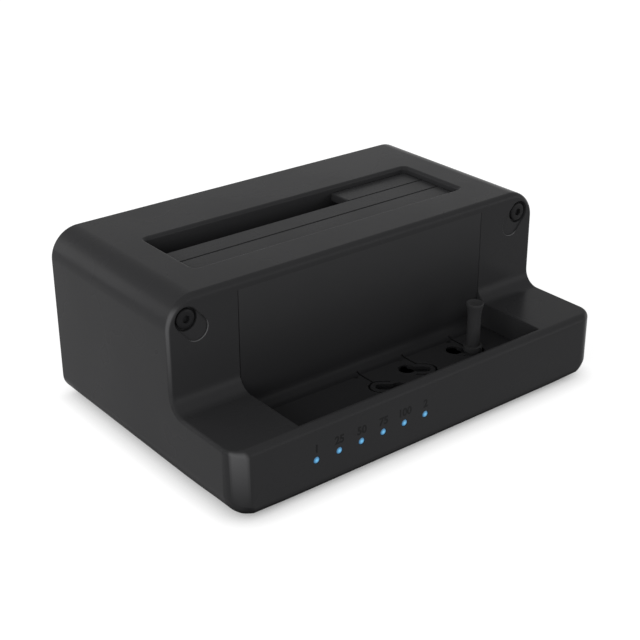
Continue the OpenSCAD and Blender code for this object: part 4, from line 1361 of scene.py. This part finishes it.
@dataclass
class FixingPin:
    """Loose pin: a foot under the floor, a neck in the keyhole, a flange, a stem and a flared head."""

    at: Point = (32.5, -30.5, PLAN.bay_floor)
    profile: Profile = (
        (2.4, -2.6), (2.4, -1.5), (1.0, -1.5), (1.0, 0.1), (3.0, 0.1), (3.0, 1.9), (2.15, 2.0), (2.1, 8.0),
        (2.12, 11.5), (2.2, 13.0), (2.36, 14.2), (2.6, 15.2), (2.75, 15.8), (2.75, 16.25),
        (2.55, 16.5), (2.1, 16.25), (0.9, 16.1)
    )
    sides: int = 64
    edge_r: float = 0.15
    edge_facets: int = 3

    def dress(self, finishes: Finishes) -> None:
        """Turns the pin and breaks its edges.

        Args:
            finishes: the materials.
        """
        piece = Bench.turned("pin_turning", self.profile, self.at, Facing.UP, self.sides)
        Bench.ease(
            piece, lambda m, d, a: self.edge_r if a > TURNED_EDGE else 0.0, self.edge_r, self.edge_facets
        )
        Bench.settle(piece, Body.PIN, Slot.KEY, finishes.acetal, ["fixing_pin"])


@dataclass
class ShoulderScrews:
    """The two socket screws in the block's shoulders."""

    at: Pair = PLAN.shoulder
    tip: float = -10.1
    profile: Profile = (
        (1.3, 0.0), (1.3, 5.75), (2.85, 5.75), (2.9, 5.9), (2.9, 6.75), (2.8, 6.95), (2.6, 7.08), (1.7, 7.16)
    )
    sides: int = 64
    socket_r: float = 1.25
    socket_depth: float = 0.9
    socket_sides: int = 6

    def dress(self, finishes: Finishes) -> None:
        """Turns one screw, sinks its socket and copies it to the other side.

        Args:
            finishes: the materials.
        """
        x, z = self.at
        right = Bench.turned("shoulder_screw", self.profile, (x, self.tip, z), Facing.FRONT, self.sides)
        floor = self.tip - self.profile[-1][1] + self.socket_depth
        Bench.cut(right, Bench.bar(
            "socket", (x, floor, z), Facing.FRONT, 2 * self.socket_depth, self.socket_r, self.socket_sides
        ))
        pair = Bench.repeated("shoulder_screw_pair", right, [(-2 * x, 0, 0)])
        Bench.settle(pair, Body.DOCK, Slot.DARK_STEEL, finishes.dark_steel, ["shoulder_screws"])


@dataclass
class Indicators:
    """Six lit lenses in the front face, with plain numbers over them."""

    first: float = PLAN.light_first
    pitch: float = PLAN.light_pitch
    height: float = PLAN.light_z
    front: float = PLAN.front
    rear: float = -43.4
    profile: Profile = (
        (1.0, 0.0), (1.0, 4.0), (0.97, 4.06), (0.9, 4.11), (0.78, 4.15), (0.62, 4.175), (0.45, 4.19),
        (0.25, 4.197), (0.08, 4.2)
    )
    sides: int = 40
    glow_r: float = 0.95
    numbers: Tuple[str, ...] = ("1", "25", "50", "75", "100", "2")
    sign_over: float = 3.5
    sign_height: float = 2.4

    def glow(self, place: Vector, normal: Vector) -> float:
        """Tells how near the middle of the first lens a spot of its dome is."""
        away = math.hypot(place.x - self.first, place.z - self.height)
        return ramp(away, self.glow_r, 0.0) if normal.y < 0 else 0.0

    def dress(self, finishes: Finishes) -> None:
        """Turns one lens, copies it along the row and prints the numbers.

        Args:
            finishes: the materials.
        """
        at = (self.first, self.rear, self.height)
        lens = Bench.turned("lens", self.profile, at, Facing.FRONT, self.sides)
        Bench.note(lens, "glow", self.glow)
        row = Bench.repeated("lens_row", lens, [(i * self.pitch, 0, 0) for i in range(1, PLAN.light_count)])
        Bench.settle(row, Body.DOCK, Slot.PIPE, finishes.lens, ["light_pipes"])
        over = self.height + self.sign_over
        signs = [
            (words, (self.first + i * self.pitch, self.front, over), Facing.FRONT.value)
            for i, words in enumerate(self.numbers)
        ]
        Bench.settle(
            Bench.printed("light_numbers", signs, self.sign_height), Body.DOCK, Slot.SHELL, finishes.ink
        )


@dataclass
class RearKeys:
    """Power rocker and copy button on the rear panel."""

    rocker_r: float = 0.45
    rocker_rear: float = 44.0
    # Each mark's place, and the slope in degrees of the half of the rocker that it is on.
    marks: Tuple[Tuple[str, Point, float], ...] = (
        ("O", (33.05, 45.24, 15.7), 0.0), ("I", (38.27, 46.07, 15.7), 18.0)
    )
    mark_height: float = 2.6
    button_rear: float = 46.7
    button_r: float = 0.5
    dish_in: float = 0.9
    dish_depth: float = 0.35
    facets: int = 4

    def rocker(self, finishes: Finishes) -> None:
        """Softens the rocker's cap and prints its two marks, one on each half.

        Args:
            finishes: the materials.
        """
        cap = Bench.copied("rocker_cap", "power_rocker")
        Bench.ease(
            cap, lambda m, d, a: self.rocker_r if a > FORM_EDGE and m.y > self.rocker_rear else 0.0,
            self.rocker_r, self.facets
        )
        Bench.settle(cap, Body.ROCKER, Slot.KEY, finishes.key, ["power_rocker"])
        signs = [
            (words, at, (math.pi / 2, 0, math.pi + math.radians(slope))) for words, at, slope in self.marks
        ]
        marks = Bench.printed("rocker_marks", signs, self.mark_height)
        Bench.settle(marks, Body.ROCKER, Slot.KEY, finishes.pale_ink)

    def button(self, finishes: Finishes) -> None:
        """Dishes the copy button's face and rounds its rim.

        Args:
            finishes: the materials.
        """
        cap = Bench.copied("copy_cap", "copy_button")
        face = self.button_rear - TINY
        with Bench.editing(cap, "FACE"):
            Bench.pick_faces(cap, lambda c, n: n.y > ALIGNED and c.y > face)
            bpy.ops.mesh.inset(thickness=self.dish_in, depth=0)
            bpy.ops.mesh.inset(thickness=self.dish_in / 2, depth=-self.dish_depth)
        Bench.ease(
            cap, lambda m, d, a: self.button_r if a > FORM_EDGE and m.y > face else 0.0,
            self.button_r, self.facets
        )
        Bench.settle(cap, Body.COPY_KEY, Slot.KEY, finishes.key, ["copy_button"])

    def dress(self, finishes: Finishes) -> None:
        """Makes both keys."""
        self.rocker(finishes)
        self.button(finishes)


@dataclass
class Underside:
    """Base cover with a softened rim, and four feet with rounded soles."""

    foot_at: Pair = (52.5, 34.9)
    profile: Profile = ((4.0, 0.0), (4.5, 0.06), (4.85, 0.25), (5.0, 0.6), (5.0, 2.0))
    sides: int = 48
    bottom: float = PLAN.bottom
    rim_r: float = 0.35
    rim_facets: int = 3

    def dress(self, finishes: Finishes) -> None:
        """Softens a copy of the cover, moulds one foot and copies it to each corner.

        Args:
            finishes: the materials.
        """
        cover = Bench.copied("cover_moulding", "base_cover")
        Bench.ease(
            cover, lambda m, d, a: self.rim_r if a > FORM_EDGE and abs(m.z - self.bottom) < TINY else 0.0,
            self.rim_r, self.rim_facets
        )
        Bench.settle(cover, Body.DOCK, Slot.INNER, finishes.inner, ["base_cover"])
        x, y = self.foot_at
        foot = Bench.turned("foot", self.profile, (-x, -y, 0), Facing.UP, self.sides)
        feet = Bench.repeated("foot_set", foot, [(2 * x, 0, 0), (0, 2 * y, 0), (2 * x, 2 * y, 0)])
        Bench.settle(feet, Body.DOCK, Slot.RUBBER, finishes.rubber, ["rubber_feet"])


@dataclass(frozen=True)
class Softbox:
    """A soft lamp: its place, its width and height, and the light that it gives a surface facing it.

    Lamps and surroundings that add up to a level of one show a colour as it is written.
    """

    name: str
    at: Point
    size: Pair
    level: float


@dataclass
class Studio:
    """Pale floor, white surroundings, five soft lamps and the camera."""

    eye: Point = (-230.21, -286.86, 201.17)
    aim: Point = (0.0, 0.0, 29.6)
    lens: float = 73.4
    sensor: float = 36.0
    shift: Pair = (-0.0170, -0.0327)
    clip: Pair = (10.0, 20000.0)
    floor_size: float = 6000.0
    floor_colour: str = "#ababab"
    floor_glow: float = 0.8
    ambient: float = 0.5
    # Reach of the contact shadow painted into the floor's glow, and how deep it is to the eye and in the
    # dock's own reflections.
    contact: float = 6.0
    contact_samples: int = 8
    contact_depth: float = 0.5
    mirrored_depth: float = 3.0
    lamps: Tuple[Softbox, ...] = (
        Softbox("left_front_softbox", (-880, -330, 360), (500, 500), 0.2),
        Softbox("left_rear_softbox", (-900, 200, 360), (500, 500), 0.16),
        Softbox("front_left_fill", (-640, -700, 230), (800, 420), 0.19),
        Softbox("front_right_fill", (600, -750, 230), (900, 420), 0.26),
        Softbox("rear_fill", (-420, 950, 260), (700, 420), 0.24),
    )

    def visible(self, tree: Tree) -> Socket:
        """Tells whether a ray is the camera's, or one that metal or glass sends on.

        Args:
            tree: the tree of the floor or the world.

        Returns:
            One for such a ray, nothing for the light that falls on the object.
        """
        path = add_node(tree, "ShaderNodeLightPath").outputs
        first = add_node(
            tree, "ShaderNodeMath", {0: path["Is Camera Ray"], 1: path["Is Glossy Ray"]}, operation="MAXIMUM"
        ).outputs[0]
        return add_node(
            tree, "ShaderNodeMath", {0: first, 1: path["Is Transmission Ray"]}, operation="MAXIMUM"
        ).outputs[0]

    def floor(self) -> None:
        """Lays the floor, which keeps the dock's shadow and has a contact shadow painted into its glow."""
        Bench.clear()
        bpy.ops.mesh.primitive_plane_add(size=self.floor_size * MM)
        plane = bpy.context.object
        plane.name = "studio_floor"
        material = bpy.data.materials.new("pale_floor")
        material.use_nodes = True
        tree = material.node_tree
        tree.nodes.clear()
        # Ambient occlusion dims the floor's glow near the dock: a painted contact shadow, deeper in
        # reflections than to the eye.
        open_sky = add_node(
            tree, "ShaderNodeAmbientOcclusion", {"Distance": self.contact * MM}, samples=self.contact_samples
        ).outputs["AO"]
        eye = add_node(tree, "ShaderNodeLightPath").outputs["Is Camera Ray"]
        depth = add_node(tree, "ShaderNodeMapRange", {
            "Value": eye, "To Min": self.mirrored_depth, "To Max": self.contact_depth
        }).outputs["Result"]
        painted_contact_shadow = add_node(tree, "ShaderNodeMath", {0: open_sky, 1: depth}, operation="POWER").outputs[0]
        level = add_node(
            tree, "ShaderNodeMath", {0: painted_contact_shadow, 1: self.floor_glow}, operation="MULTIPLY"
        ).outputs[0]
        seen = add_node(
            tree, "ShaderNodeMath", {0: self.visible(tree), 1: level}, operation="MULTIPLY"
        ).outputs[0]
        glow = add_node(tree, "ShaderNodeEmission", {"Color": (1, 1, 1, 1), "Strength": seen}).outputs[0]
        matte = add_node(tree, "ShaderNodeBsdfDiffuse", {"Color": linear(self.floor_colour)}).outputs[0]
        both = add_node(tree, "ShaderNodeAddShader", {0: matte, 1: glow}).outputs[0]
        add_node(tree, "ShaderNodeOutputMaterial", {"Surface": both})
        plane.data.materials.append(material)

    def surroundings(self) -> None:
        """Makes the world white to the eye and a soft fill to the object."""
        world = bpy.data.worlds.new("white_room")
        bpy.context.scene.world = world
        world.use_nodes = True
        tree = world.node_tree
        tree.nodes.clear()
        strength = add_node(tree, "ShaderNodeMapRange", {
            "Value": self.visible(tree), "To Min": self.ambient, "To Max": 1.0
        }).outputs["Result"]
        back = add_node(
            tree, "ShaderNodeBackground", {"Color": (1, 1, 1, 1), "Strength": strength}
        ).outputs[0]
        add_node(tree, "ShaderNodeOutputWorld", {"Surface": back})

    def aimed(self, name: str, data: bpy.types.ID, at: Point) -> Piece:
        """Puts a lamp or the camera up, facing the dock.

        Args:
            name: its name.
            data: the lamp's or the camera's data.
            at: its place.

        Returns:
            The object.
        """
        thing = bpy.data.objects.new(name, data)
        bpy.context.scene.collection.objects.link(thing)
        place, aim = Vector(at) * MM, Vector(self.aim) * MM
        thing.location = place
        thing.rotation_euler = (aim - place).to_track_quat("-Z", "Y").to_euler()
        return thing

    def light(self, lamp: Softbox) -> None:
        """Hangs a soft lamp.

        Args:
            lamp: the lamp.
        """
        data = bpy.data.lights.new(lamp.name, "AREA")
        data.shape = "RECTANGLE"
        data.size, data.size_y = (s * MM for s in lamp.size)
        away = (Vector(lamp.at) - Vector(self.aim)) * MM
        data.energy = lamp.level * math.pi ** 2 * away.length_squared
        self.aimed(lamp.name, data, lamp.at)

    def camera(self) -> None:
        """Sets the camera at the photograph's view."""
        data = bpy.data.cameras.new("camera")
        data.lens, data.sensor_width = self.lens, self.sensor
        data.shift_x, data.shift_y = self.shift
        data.clip_start, data.clip_end = (c * MM for c in self.clip)
        bpy.context.scene.camera = self.aimed("camera", data, self.eye)

    def set_up(self) -> None:
        """Sets up the whole studio."""
        self.camera()
        self.floor()
        self.surroundings()
        for lamp in self.lamps:
            self.light(lamp)
        bpy.context.scene.view_settings.view_transform = "Standard"


def clothe(finishes: Finishes) -> None:
    """Gives each solid that shows as it is its finish.

    Args:
        finishes: the materials.
    """
    by_finish = {
        finishes.inner: ("rear_panel", "drive_guide"),
        finishes.steel: (
            "base_screws", "flap_hinge_rod", "flap_springs", "board_screws", "card_board_screws",
            "clock_crystal", "data_port_shell", "power_inlet_pin", "copy_plunger"
        ),
        finishes.board: ("main_board", "card_board", "lamp_board"),
        finishes.connector: (
            "sata_socket", "sata_bridge_chip", "card_bridge_chip", "power_coils", "data_port_tongue",
            "power_inlet", "rocker_switch", "copy_switch", "card_socket", "board_header", "ribbon_sockets"
        ),
        finishes.gold: ("sata_contacts", "card_contacts"),
        finishes.can: ("capacitors",),
        finishes.lamp: ("lamps",),
        finishes.ribbon: ("ribbon",),
    }
    for finish, names in by_finish.items():
        for name in names:
            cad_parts[name].data.materials.clear()
            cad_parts[name].data.materials.append(finish)
            log.info("%s: %s", name, finish.name)


def main() -> None:
    """Builds the dock and its studio."""
    logging.basicConfig(level=logging.INFO, format="%(name)s: %(message)s")
    finishes = Finishes()
    Studio().set_up()
    clothe(finishes)
    for assembly in (
        Housing(), BayPanel(), Flap(), FixingPin(), ShoulderScrews(), Indicators(), RearKeys(), Underside()
    ):
        assembly.dress(finishes)


if __name__ == "__main__":
    main()
